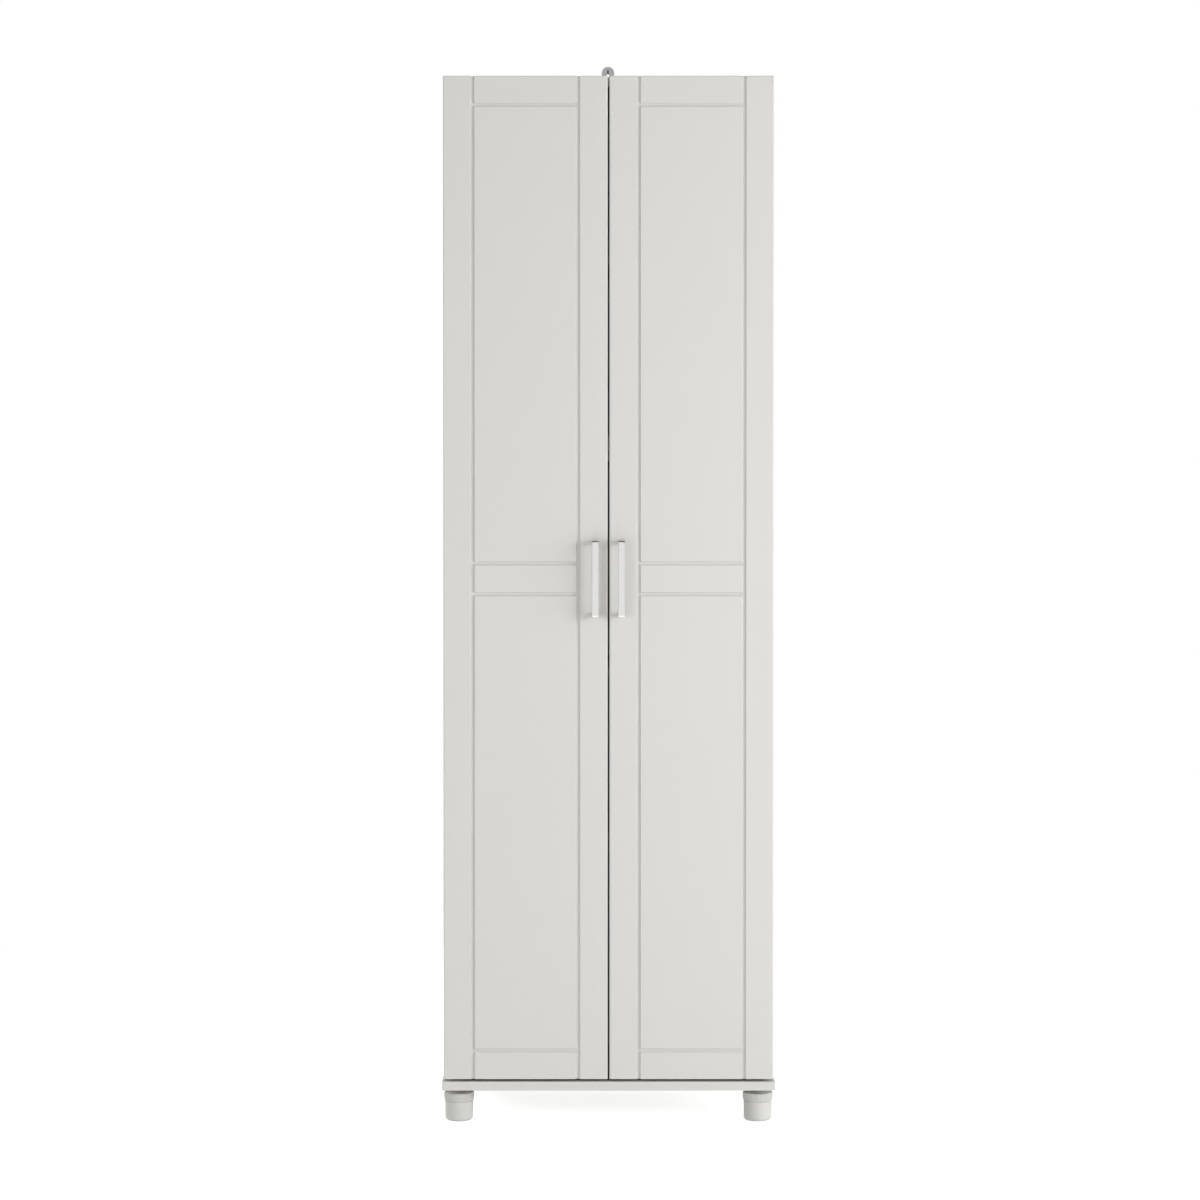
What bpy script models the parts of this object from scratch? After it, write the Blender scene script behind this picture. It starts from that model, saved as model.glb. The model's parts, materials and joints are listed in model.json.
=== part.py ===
"""A tall two-door garage cabinet on levelling feet, built board by board at its real size.

Units are metres, +Z is up, +X is to the right and the doors face -Y. The origin lies on the floor, in
the middle of the whole object's plan.
"""
import math

import bmesh
import bpy
from mathutils import Matrix

# Boards
BOARD = 0.016  # thickness of the sides, top, base and shelves
DOOR_BOARD = 0.016  # thickness of a door
BACK_BOARD = 0.003  # thickness of the hardboard back
CARCASS_WIDTH = 0.590  # over both side panels
CARCASS_DEPTH = 0.370  # side panels, front edge to back edge
CARCASS_HEIGHT = 1.793  # side panels, bottom to top
BASE_LIP = 0.003  # how far the base board stands out beyond each side panel

# Shelves, each height measured from the base board's top to the shelf's underside
LOWER_SHELF_HEIGHT = 0.4297
MIDDLE_SHELF_HEIGHT = 0.7252
FIXED_SHELF_HEIGHT = 1.1095
UPPER_SHELF_HEIGHT = 1.4626
SHELF_SIDE_CLEARANCE = 0.001  # between a loose shelf and each side panel
SHELF_SETBACK = 0.010  # loose shelves stand this far behind the carcass front
SHELF_BACK_CLEARANCE = 0.002

# Shelf pins and their holes
PIN_DIAMETER = 0.005
PIN_LENGTH = 0.008  # part of the pin inside the side panel
PIN_HEAD_DIAMETER = 0.0075
PIN_HEAD_LENGTH = 0.008
PIN_INSET = 0.045  # from a side panel's front or back edge to its row of holes
PIN_PITCH = 0.032  # height between two holes of a row
PIN_HOLE_END = 0.001  # depth of a hole behind its pin

# Doors
DOOR_REST_GAP = 0.002  # between a closed door and the carcass
DOOR_SIDE_REVEAL = 0.0003  # a door's outer edge lies this far inside the carcass width
DOOR_MEETING_GAP = 0.0030  # between the two closed doors
DOOR_BOTTOM_GAP = 0.0044  # between the base board and the doors
DOOR_TOP_LIFT = 0.0014  # the doors stand this far above the carcass top

# Routed grooves on the door fronts
GROOVE_WIDTH = 0.0068
GROOVE_FLOOR = 0.0042
GROOVE_DEPTH = 0.0035
GROOVE_FROM_SIDE = 0.0526  # door's side edge to the middle of a vertical groove
GROOVE_FROM_END = 0.0515  # door's top or bottom edge to the middle of a level groove
GROOVE_MID_BAND = 0.0553  # between the middles of the two level grooves at mid height

# Handles
HANDLE_CENTRES = 0.128  # between the two screws
HANDLE_WIDTH = 0.013
HANDLE_THICKNESS = 0.006
HANDLE_FOOT_HEIGHT = 0.008
HANDLE_BEND = 0.004  # outer radius of the bar's two bends
HANDLE_PROJECTION = 0.030
HANDLE_FROM_EDGE = 0.0219  # door's meeting edge to the middle of the handle
HANDLE_SCREW_DIAMETER = 0.004
HANDLE_SCREW_GRIP = 0.010  # length of screw inside the handle's foot
HANDLE_SCREW_HEAD_DIAMETER = 0.009
HANDLE_SCREW_HEAD_HEIGHT = 0.0022
SCREW_CROWN = 0.0014  # a screw head's chamfer, inwards from its rim

# Concealed cup hinges
HINGE_FROM_END = 0.110  # door's top or bottom edge to the outer hinges
HINGE_AXIS_INSET = 0.005  # door's outer edge to the line that the door turns about
CUP_DIAMETER = 0.0344
CUP_EDGE = 0.005  # door's outer edge to the rim of the cup's hole
CUP_DEPTH = 0.0110
CUP_WALL = 0.0009
FLANGE_THICKNESS = 0.0012
FLANGE_HEIGHT = 0.062
FLANGE_WIDTH = 0.017
FLANGE_OFFSET = 0.0055  # from the cup's middle to the middle of its wings
FLANGE_RIM = 0.0018  # ring of the flange around the cup's hole
ARM_HEIGHT = 0.013
ARM_BOSS_HEIGHT = 0.0104  # the block that joins the arm to its plate
ARM_LENGTH = 0.065
ARM_RISE = 0.011  # the arm's height above its mounting plate
PLATE_THICKNESS = 0.004
PLATE_FROM_EDGE = 0.037  # carcass front to the middle of the mounting plate
PLATE_LENGTH = 0.020
WING_LENGTH = 0.016
PLATE_HEIGHT = 0.052
ARM_ROOT = 0.006  # from the carcass front back to where the arm's nose begins
NOSE_RADIUS = 0.011  # the nose's end is rounded about the door's turning line
NOSE_FROM, NOSE_TO = 34, 8  # degrees of that rounding
NOSE_WIDTH = 0.005
NOSE_SHOULDER = 0.002  # from the carcass front back to the nose's shoulder

# Magnetic catch and its strike plates
CATCH_WIDTH = 0.048
CATCH_DEPTH = 0.026
CATCH_HEIGHT = 0.0297
STRIKE_WIDTH = 0.013
STRIKE_HEIGHT = 0.026
STRIKE_THICKNESS = 0.0012
STRIKE_FROM_MIDDLE = 0.0125  # cabinet's middle to the middle of a strike plate

# Bracket that ties the cabinet's top to a wall, and the pad between the two
BRACKET_WIDTH = 0.0238
BRACKET_THICKNESS = 0.0016
BRACKET_RISE = 0.074  # above the cabinet's top
BRACKET_FOOT = 0.042  # length along the cabinet's top
KEYHOLE_FROM_TOP = 0.0165
KEYHOLE_DIAMETER = 0.005
KEYHOLE_SLOT_WIDTH = 0.0024
KEYHOLE_SLOT_FROM_TOP = 0.0062
BRACKET_SCREW_DIAMETER = 0.004
BRACKET_SCREW_LENGTH = 0.012
BRACKET_SCREW_HEAD_DIAMETER = 0.009
BRACKET_SCREW_HEAD_HEIGHT = 0.0025
BRACKET_SCREW_FROM_BACK = 0.026
PAD_THICKNESS = 0.0010
PAD_INSET = 0.0005  # the pad's edge lies this far inside the bracket's

# Levelling feet: a stud in the base board, a ribbed ring that turns on it, and the foot itself
FOOT_HEIGHT = 0.060  # floor to the underside of the base board
FOOT_FROM_SIDE = 0.029  # base board's side edge to a foot's middle
FOOT_FROM_FRONT = 0.042
FOOT_FROM_BACK = 0.042
FOOT_TRAVEL = 0.012  # how far a foot screws out
THREAD_GRIP = 0.010  # stud left in the foot when it is screwed out all the way
RING_DIAMETER = 0.0542
RING_TOP_GAP = 0.0095  # from the base board to the ring
RIBBED_HEIGHT = 0.0090
RING_CONE_HEIGHT = 0.0060
RING_RIM = 0.0030
RING_RECESS = 0.0030
RIB_COUNT = 40
RIB_DEPTH = 0.0008
FOOT_TOP_DIAMETER = 0.0510
FOOT_BOTTOM_DIAMETER = 0.0500
FOOT_EDGE_RADIUS = 0.0060
STUD_DIAMETER = 0.010
STUD_IN_BOARD = 0.011
STUD_FLANGE_DIAMETER = 0.024
STUD_FLANGE_THICKNESS = 0.0020

# Gap kept between two pieces that touch
FIT = 0.0003

# Worked-out positions, from the front to the back
OVERALL_DEPTH = HANDLE_PROJECTION + DOOR_BOARD + DOOR_REST_GAP + CARCASS_DEPTH + FIT + BACK_BOARD
DOOR_FRONT = HANDLE_PROJECTION - OVERALL_DEPTH / 2
DOOR_BACK = DOOR_FRONT + DOOR_BOARD
CARCASS_FRONT = DOOR_BACK + DOOR_REST_GAP
CARCASS_BACK = CARCASS_FRONT + CARCASS_DEPTH
CABINET_BACK = CARCASS_BACK + FIT + BACK_BOARD
BRACKET_BACK = CABINET_BACK - PAD_THICKNESS - FIT

# From the middle to the side
CARCASS_HALF = CARCASS_WIDTH / 2
INSIDE_HALF = CARCASS_HALF - BOARD
BASE_HALF = CARCASS_HALF + BASE_LIP
DOOR_OUTER = CARCASS_HALF - DOOR_SIDE_REVEAL
DOOR_INNER = DOOR_MEETING_GAP / 2
HINGE_X = DOOR_OUTER - HINGE_AXIS_INSET
HINGE_Y = DOOR_FRONT + DOOR_BOARD / 2
HANDLE_X = DOOR_INNER + HANDLE_FROM_EDGE

# From the floor up
BASE_TOP = FOOT_HEIGHT + BOARD
SIDE_BOTTOM = BASE_TOP + FIT
CARCASS_TOP = SIDE_BOTTOM + CARCASS_HEIGHT
DOOR_BOTTOM = BASE_TOP + DOOR_BOTTOM_GAP
DOOR_TOP = CARCASS_TOP + DOOR_TOP_LIFT
DOOR_MIDDLE = (DOOR_BOTTOM + DOOR_TOP) / 2
LOOSE_SHELVES = (("lower", BASE_TOP + LOWER_SHELF_HEIGHT),
                 ("middle", BASE_TOP + MIDDLE_SHELF_HEIGHT),
                 ("upper", BASE_TOP + UPPER_SHELF_HEIGHT))
FIXED_SHELF_TOP = BASE_TOP + FIXED_SHELF_HEIGHT + BOARD
HINGE_HEIGHTS = (DOOR_BOTTOM + HINGE_FROM_END, DOOR_MIDDLE, DOOR_TOP - HINGE_FROM_END)
BRACKET_BOTTOM = CARCASS_TOP + FIT
BRACKET_TOP = CARCASS_TOP + BRACKET_RISE
KEYHOLE_HEIGHT = BRACKET_TOP - KEYHOLE_FROM_TOP
RING_TOP = FOOT_HEIGHT - RING_TOP_GAP
RING_BOTTOM = RING_TOP - RIBBED_HEIGHT - RING_CONE_HEIGHT

ROUND_STEPS = 24  # facets of a cup, a stud or a hole of that size
SMALL_STEPS = 12  # facets of a pin or a small screw
FOOT_STEPS = 32  # facets of a foot
SIDES = (("left", -1), ("right", 1))


def clear_scene():
    """Take away whatever the file holds, so that only the cabinet is left."""
    for item in list(bpy.data.objects):
        bpy.data.objects.remove(item, do_unlink=True)


def finish(name, kind):
    """The piece's own material, in one of the cabinet's finishes: colour, roughness, metallic."""
    colour, roughness, metallic = {
        "laminate": ((0.665, 0.655, 0.630), 0.45, 0.0),
        "hardboard": ((0.360, 0.260, 0.170), 0.60, 0.0),
        "nickel": ((0.620, 0.610, 0.590), 0.32, 1.0),
        "zinc": ((0.560, 0.565, 0.570), 0.40, 1.0),
        "foot_plastic": ((0.610, 0.610, 0.590), 0.50, 0.0),
        "catch_plastic": ((0.700, 0.690, 0.660), 0.50, 0.0),
        "rubber": ((0.060, 0.060, 0.060), 0.70, 0.0),
    }[kind]
    material = bpy.data.materials.new(f"{name}_{kind}")
    material.use_nodes = True
    shader = material.node_tree.nodes["Principled BSDF"]
    shader.inputs["Base Color"].default_value = (*colour, 1.0)
    shader.inputs["Roughness"].default_value = roughness
    shader.inputs["Metallic"].default_value = metallic
    return material


def place(name, mesh, kind, smooth=False, carrier=None):
    """Turn a bmesh in world coordinates into an object, on its carrier's joint axis if it moves."""
    bmesh.ops.recalc_face_normals(mesh, faces=mesh.faces)
    if carrier:
        bmesh.ops.translate(mesh, verts=mesh.verts, vec=-carrier.location)
    data = bpy.data.meshes.new(name)
    mesh.to_mesh(data)
    mesh.free()
    if smooth:
        data.shade_smooth()
        data.set_sharp_from_angle(angle=math.radians(35))
    item = bpy.data.objects.new(name, data)
    data.materials.append(finish(name, kind))
    bpy.context.collection.objects.link(item)
    item.parent = carrier
    return item


def joint_axis(name, location):
    """An empty on a joint's axis; the pieces that move with the joint hang on it."""
    empty = bpy.data.objects.new(name, None)
    empty.location = location
    empty.empty_display_size = 0.05
    bpy.context.collection.objects.link(empty)
    return empty


def add_box(mesh, low, high):
    """Add a box between two corners to a bmesh."""
    made = bmesh.ops.create_cube(mesh, size=1.0)
    size = [b - a for a, b in zip(low, high)]
    middle = [(a + b) / 2 for a, b in zip(low, high)]
    bmesh.ops.scale(mesh, verts=made["verts"], vec=size)
    bmesh.ops.translate(mesh, verts=made["verts"], vec=middle)


def board(name, low, high, kind="laminate", carrier=None):
    """A plain board between two corners."""
    mesh = bmesh.new()
    add_box(mesh, low, high)
    return place(name, mesh, kind, carrier=carrier)


def mirrored(side, inner, outer):
    """The low and high X of something that lies between two distances from the middle."""
    return (inner, outer) if side > 0 else (-outer, -inner)


def turned(mesh, profile, steps, closed=True):
    """Spin a profile of (radius, height) points about Z; a closed profile makes a ring."""
    verts = [mesh.verts.new((radius, 0, height)) for radius, height in profile]
    ends = verts[1:] + verts[:1] if closed else verts[1:]
    edges = [mesh.edges.new(pair) for pair in zip(verts, ends)]
    bmesh.ops.spin(mesh, geom=verts + edges, cent=(0, 0, 0), axis=(0, 0, 1),
                   angle=2 * math.pi, steps=steps, use_merge=True)
    bmesh.ops.remove_doubles(mesh, verts=mesh.verts, dist=0.000001)


def add_rod(mesh, start, axis, length, diameter, steps):
    """Add a closed rod from a start point along X, Y or Z; a negative length runs backwards."""
    made = bmesh.ops.create_cone(mesh, cap_ends=True, segments=steps, radius1=diameter / 2,
                                 radius2=diameter / 2, depth=abs(length))
    turn = {"X": (math.pi / 2, "Y"), "Y": (math.pi / 2, "X"), "Z": (0, "Z")}[axis]
    upright = Matrix.Rotation(turn[0], 3, turn[1])
    bmesh.ops.rotate(mesh, verts=made["verts"], cent=(0, 0, 0), matrix=upright)
    middle = list(start)
    middle["XYZ".index(axis)] += length / 2
    bmesh.ops.translate(mesh, verts=made["verts"], vec=middle)


def add_prism(mesh, outline, low, high, plane="XY"):
    """Add a straight prism: an outline drawn in a plane, raised along the third axis."""
    third = {"XY": 2, "XZ": 1, "YZ": 0}[plane]
    corners = []
    for first, second in outline:
        corner = [first, second]
        corner.insert(third, low)
        corners.append(mesh.verts.new(corner))
    face = mesh.faces.new(corners)
    raised = bmesh.ops.extrude_face_region(mesh, geom=[face])
    verts = [item for item in raised["geom"] if isinstance(item, bmesh.types.BMVert)]
    rise = [0, 0, 0]
    rise[third] = high - low
    bmesh.ops.translate(mesh, verts=verts, vec=rise)


def cut(item, name, mesh, operation="DIFFERENCE"):
    """Cut a shape out of a piece, or join it on, with an exact Boolean."""
    bmesh.ops.recalc_face_normals(mesh, faces=mesh.faces)
    data = bpy.data.meshes.new(name)
    mesh.to_mesh(data)
    mesh.free()
    cutter = bpy.data.objects.new(name, data)
    cutter.hide_render = True
    cutter.display_type = "WIRE"
    bpy.context.collection.objects.link(cutter)
    step = item.modifiers.new(name, "BOOLEAN")
    step.operation = operation
    step.solver = "EXACT"
    step.object = cutter


def arc(middle, radius, start, end, steps):
    """Points of an arc, with its angles in degrees."""
    angles = [math.radians(start + (end - start) * i / steps) for i in range(steps + 1)]
    return [(middle[0] + radius * math.cos(a), middle[1] + radius * math.sin(a)) for a in angles]


# The boards of the carcass

def pin_spots():
    """The Y and Z of every pin's middle, worked out from the shelf that it carries."""
    rows = (CARCASS_FRONT + PIN_INSET, CARCASS_BACK - PIN_INSET)
    for shelf, underside in LOOSE_SHELVES:
        for row, y in zip(("front", "back"), rows):
            yield shelf, row, y, underside - FIT - PIN_HEAD_DIAMETER / 2


def side_panel(word, side):
    """A side panel with its blind holes for the shelf pins, one spare above and below each."""
    low, high = mirrored(side, INSIDE_HALF, CARCASS_HALF)
    panel = board(f"{word}_side_panel", (low, CARCASS_FRONT, SIDE_BOTTOM),
                  (high, CARCASS_BACK, CARCASS_TOP))
    holes = bmesh.new()
    for _, _, y, z in pin_spots():
        for step in (-1, 0, 1):
            start = (side * (INSIDE_HALF - FIT), y, z + step * PIN_PITCH)
            length = side * (PIN_LENGTH + PIN_HOLE_END + FIT)
            add_rod(holes, start, "X", length, PIN_DIAMETER + 2 * FIT, SMALL_STEPS)
    cut(panel, f"{word}_pin_holes", holes)


def foot_spots():
    """The X and Y of every foot's middle, named by its corner."""
    x = BASE_HALF - FOOT_FROM_SIDE
    front = DOOR_FRONT + FOOT_FROM_FRONT
    back = CABINET_BACK - FOOT_FROM_BACK
    return (("front_left", -x, front), ("front_right", x, front),
            ("back_left", -x, back), ("back_right", x, back))


def carcass_boards():
    """Base, sides, top, fixed shelf and back."""
    base = board("bottom_panel", (-BASE_HALF, DOOR_FRONT, FOOT_HEIGHT),
                 (BASE_HALF, CABINET_BACK, BASE_TOP))
    holes = bmesh.new()
    for _, x, y in foot_spots():
        start = (x, y, FOOT_HEIGHT - FIT)
        add_rod(holes, start, "Z", STUD_IN_BOARD + 2 * FIT, STUD_DIAMETER + 2 * FIT, ROUND_STEPS)
    cut(base, "stud_holes", holes)
    for word, side in SIDES:
        side_panel(word, side)
    inside = INSIDE_HALF - FIT
    top = board("top_panel", (-inside, CARCASS_FRONT, CARCASS_TOP - BOARD),
                (inside, CARCASS_BACK, CARCASS_TOP))
    hole = bmesh.new()
    start = (0, CABINET_BACK - BRACKET_SCREW_FROM_BACK, CARCASS_TOP + FIT)
    depth = -BRACKET_SCREW_LENGTH - 2 * FIT
    add_rod(hole, start, "Z", depth, BRACKET_SCREW_DIAMETER + 2 * FIT, SMALL_STEPS)
    cut(top, "bracket_screw_hole", hole)
    board("fixed_shelf", (-inside, CARCASS_FRONT, FIXED_SHELF_TOP - BOARD),
          (inside, CARCASS_BACK, FIXED_SHELF_TOP))
    board("back_panel", (-CARCASS_HALF, CARCASS_BACK + FIT, SIDE_BOTTOM),
          (CARCASS_HALF, CABINET_BACK, CARCASS_TOP), kind="hardboard")


def loose_shelves():
    """The three shelves that lie on pins."""
    half = INSIDE_HALF - SHELF_SIDE_CLEARANCE
    front = CARCASS_FRONT + SHELF_SETBACK
    back = CARCASS_BACK - SHELF_BACK_CLEARANCE
    for word, underside in LOOSE_SHELVES:
        board(f"{word}_shelf", (-half, front, underside), (half, back, underside + BOARD))


def shelf_pins():
    """A pin for each corner of each loose shelf: a shank in the panel, a head under the shelf."""
    for shelf, row, y, z in pin_spots():
        for word, side in SIDES:
            pin = bmesh.new()
            shank = PIN_DIAMETER / 2
            head = PIN_HEAD_DIAMETER / 2
            profile = ((0, -PIN_LENGTH), (shank, -PIN_LENGTH), (shank, FIT), (head, FIT),
                       (head, FIT + PIN_HEAD_LENGTH), (0, FIT + PIN_HEAD_LENGTH))
            turned(pin, profile, SMALL_STEPS, closed=False)
            inward = Matrix.Rotation(-side * math.pi / 2, 3, "Y")
            bmesh.ops.rotate(pin, verts=pin.verts, cent=(0, 0, 0), matrix=inward)
            bmesh.ops.translate(pin, verts=pin.verts, vec=(side * INSIDE_HALF, y, z))
            place(f"pin_{shelf}_{row}_{word}", pin, "zinc", smooth=True)


# The doors and what they carry

def groove_section(middle):
    """A groove's section: wide at the door's face, narrower at its floor."""
    face = DOOR_FRONT - FIT
    flare = (GROOVE_WIDTH - GROOVE_FLOOR) / 2 * FIT / GROOVE_DEPTH
    wide = GROOVE_WIDTH / 2 + flare
    floor = DOOR_FRONT + GROOVE_DEPTH
    return ((middle - wide, face), (middle + wide, face),
            (middle + GROOVE_FLOOR / 2, floor), (middle - GROOVE_FLOOR / 2, floor))


def door_grooves(side):
    """Two upright grooves over the whole height, and four level ones between them."""
    uprights, levels = bmesh.new(), bmesh.new()
    outer = side * (DOOR_OUTER - GROOVE_FROM_SIDE)
    inner = side * (DOOR_INNER + GROOVE_FROM_SIDE)
    for x in (outer, inner):
        add_prism(uprights, groove_section(x), DOOR_BOTTOM - FIT, DOOR_TOP + FIT)
    half_band = GROOVE_MID_BAND / 2
    heights = (DOOR_BOTTOM + GROOVE_FROM_END, DOOR_MIDDLE - half_band,
               DOOR_MIDDLE + half_band, DOOR_TOP - GROOVE_FROM_END)
    for z in heights:
        section = [(across, up) for up, across in groove_section(z)]
        add_prism(levels, section, min(outer, inner), max(outer, inner), plane="YZ")
    return uprights, levels


def cup_x():
    """Distance from the cabinet's middle to the middle of a hinge cup."""
    return DOOR_OUTER - CUP_EDGE - FIT - CUP_DIAMETER / 2


def handle_screw_heights():
    """The height of a handle's two screws."""
    return (("lower", DOOR_MIDDLE - HANDLE_CENTRES / 2), ("upper", DOOR_MIDDLE + HANDLE_CENTRES / 2))


def door(word, side, axis):
    """A grooved door with its blind holes for the hinge cups and through holes for the handle."""
    low, high = mirrored(side, DOOR_INNER, DOOR_OUTER)
    item = board(f"{word}_door", (low, DOOR_FRONT, DOOR_BOTTOM),
                 (high, DOOR_BACK, DOOR_TOP), carrier=axis)
    uprights, levels = door_grooves(side)
    cut(item, f"{word}_upright_grooves", uprights)
    cut(item, f"{word}_level_grooves", levels)
    holes = bmesh.new()
    for z in HINGE_HEIGHTS:
        start = (side * cup_x(), DOOR_BACK + FIT, z)
        add_rod(holes, start, "Y", -CUP_DEPTH - 2 * FIT, CUP_DIAMETER + 2 * FIT, ROUND_STEPS)
    for _, z in handle_screw_heights():
        start = (side * HANDLE_X, DOOR_FRONT - FIT, z)
        add_rod(holes, start, "Y", DOOR_BOARD + 2 * FIT, HANDLE_SCREW_DIAMETER + 2 * FIT, SMALL_STEPS)
    cut(item, f"{word}_door_holes", holes)


def handle(word, side, axis):
    """A flat bar bent square at both ends, with a blind screw hole in each foot."""
    half = HANDLE_CENTRES / 2 + HANDLE_FOOT_HEIGHT / 2
    inner = half - HANDLE_FOOT_HEIGHT
    foot = DOOR_FRONT - FIT
    outside = DOOR_FRONT - HANDLE_PROJECTION
    inside = outside + HANDLE_THICKNESS
    turn = outside + HANDLE_BEND
    reach = half - HANDLE_BEND
    outline = [(foot, DOOR_MIDDLE - half)]
    outline += arc((turn, DOOR_MIDDLE - reach), HANDLE_BEND, 270, 180, 4)
    outline += arc((turn, DOOR_MIDDLE + reach), HANDLE_BEND, 180, 90, 4)
    outline += [(foot, DOOR_MIDDLE + half), (foot, DOOR_MIDDLE + inner), (inside, DOOR_MIDDLE + inner),
                (inside, DOOR_MIDDLE - inner), (foot, DOOR_MIDDLE - inner)]
    bar = bmesh.new()
    middle = side * HANDLE_X
    add_prism(bar, outline, middle - HANDLE_WIDTH / 2, middle + HANDLE_WIDTH / 2, plane="YZ")
    item = place(f"{word}_handle", bar, "nickel", carrier=axis)
    holes = bmesh.new()
    for _, z in handle_screw_heights():
        length = -HANDLE_SCREW_GRIP - FIT
        add_rod(holes, (middle, DOOR_FRONT, z), "Y", length, HANDLE_SCREW_DIAMETER + 2 * FIT, SMALL_STEPS)
    cut(item, f"{word}_handle_holes", holes)


def handle_screws(word, side, axis):
    """Screws that go through the door into the handle, with their heads on the door's back."""
    shank = HANDLE_SCREW_DIAMETER / 2
    head = HANDLE_SCREW_HEAD_DIAMETER / 2
    length = DOOR_BOARD + HANDLE_SCREW_GRIP
    crown = FIT + HANDLE_SCREW_HEAD_HEIGHT
    rim = FIT + HANDLE_SCREW_HEAD_HEIGHT / 2
    profile = ((0, -length), (shank, -length), (shank, FIT), (head, FIT), (head, rim),
               (head - SCREW_CROWN, crown), (0, crown))
    for name, z in handle_screw_heights():
        screw = bmesh.new()
        turned(screw, profile, SMALL_STEPS, closed=False)
        backward = Matrix.Rotation(-math.pi / 2, 3, "X")
        bmesh.ops.rotate(screw, verts=screw.verts, cent=(0, 0, 0), matrix=backward)
        bmesh.ops.translate(screw, verts=screw.verts, vec=(side * HANDLE_X, DOOR_BACK, z))
        place(f"{word}_handle_screw_{name}", screw, "zinc", smooth=True, carrier=axis)


def strike_plate(word, side, axis):
    """The steel plate on the door's back that the catch's magnet holds."""
    inner = STRIKE_FROM_MIDDLE - STRIKE_WIDTH / 2
    low, high = mirrored(side, inner, inner + STRIKE_WIDTH)
    middle = FIXED_SHELF_TOP + FIT + CATCH_HEIGHT / 2
    back = DOOR_BACK + FIT
    board(f"{word}_strike_plate", (low, back, middle - STRIKE_HEIGHT / 2),
          (high, back + STRIKE_THICKNESS, middle + STRIKE_HEIGHT / 2), kind="zinc", carrier=axis)


# The hinges

def hinge_cup(name, side, z, axis):
    """A pressed cup sunk in the door, open to the back, with a winged flange."""
    middle = side * cup_x()
    wing = side * (cup_x() - FLANGE_OFFSET)
    rest = DOOR_BACK + FIT
    flange = bmesh.new()
    add_box(flange, (wing - FLANGE_WIDTH / 2, rest, z - FLANGE_HEIGHT / 2),
            (wing + FLANGE_WIDTH / 2, rest + FLANGE_THICKNESS, z + FLANGE_HEIGHT / 2))
    item = place(name, flange, "nickel", carrier=axis)
    disc = bmesh.new()
    rim = CUP_DIAMETER + 2 * FLANGE_RIM
    add_rod(disc, (middle, rest, z), "Y", FLANGE_THICKNESS, rim, ROUND_STEPS)
    cut(item, f"{name}_rim", disc, "UNION")
    body = bmesh.new()
    top = rest + FLANGE_THICKNESS / 2
    add_rod(body, (middle, top, z), "Y", DOOR_BACK - CUP_DEPTH - top, CUP_DIAMETER, ROUND_STEPS)
    cut(item, f"{name}_body", body, "UNION")
    hollow = bmesh.new()
    mouth = rest + FLANGE_THICKNESS + FIT
    add_rod(hollow, (middle, mouth, z), "Y", DOOR_BACK - CUP_DEPTH + CUP_WALL - mouth,
            CUP_DIAMETER - 2 * CUP_WALL, ROUND_STEPS)
    cut(item, f"{name}_hollow", hollow)


def hinge_arm(name, side, z):
    """The arm and its mounting plate on the side panel; its nose reaches into the cup."""
    wall = HINGE_X - INSIDE_HALF  # from the turning line in to the side panel's face
    foot = wall + FIT
    under = foot + PLATE_THICKNESS
    over = under + ARM_RISE
    edge = CARCASS_FRONT - HINGE_Y
    back = edge + ARM_LENGTH
    nose = arc((0, 0), NOSE_RADIUS, NOSE_FROM, NOSE_TO, 3)
    tip = (NOSE_RADIUS + NOSE_WIDTH, nose[-1][1])
    outline = [(under, back), (under, edge + ARM_ROOT)] + nose
    outline += [tip, (over, edge + NOSE_SHOULDER), (over, back)]
    arm = bmesh.new()
    points = [(side * (HINGE_X - across), HINGE_Y + along) for across, along in outline]
    add_prism(arm, points, z - ARM_HEIGHT / 2, z + ARM_HEIGHT / 2)
    item = place(name, arm, "nickel")
    plate = bmesh.new()
    low, high = mirrored(side, HINGE_X - under - ARM_RISE / 2, HINGE_X - foot)
    middle = CARCASS_FRONT + PLATE_FROM_EDGE
    add_box(plate, (low, middle - PLATE_LENGTH / 2, z - ARM_BOSS_HEIGHT / 2),
            (high, middle + PLATE_LENGTH / 2, z + ARM_BOSS_HEIGHT / 2))
    cut(item, f"{name}_boss", plate, "UNION")
    wings = bmesh.new()
    low, high = mirrored(side, HINGE_X - under, HINGE_X - foot)
    add_box(wings, (low, middle - WING_LENGTH / 2, z - PLATE_HEIGHT / 2),
            (high, middle + WING_LENGTH / 2, z + PLATE_HEIGHT / 2))
    cut(item, f"{name}_wings", wings, "UNION")


# The catch, the bracket and the feet

def magnetic_catch():
    """A double magnetic catch on the fixed shelf's front edge."""
    foot = FIXED_SHELF_TOP + FIT
    board("magnetic_catch", (-CATCH_WIDTH / 2, CARCASS_FRONT + FIT, foot),
          (CATCH_WIDTH / 2, CARCASS_FRONT + FIT + CATCH_DEPTH, foot + CATCH_HEIGHT), kind="catch_plastic")


def strap_outline(inset):
    """A strap with a round top end, seen from the front; the inset makes it smaller all round."""
    half = BRACKET_WIDTH / 2 - inset
    bottom = BRACKET_BOTTOM + inset
    round_end = (0, BRACKET_TOP - BRACKET_WIDTH / 2)
    return [(-half, bottom), (half, bottom)] + arc(round_end, half, 0, 180, SMALL_STEPS)


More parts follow.
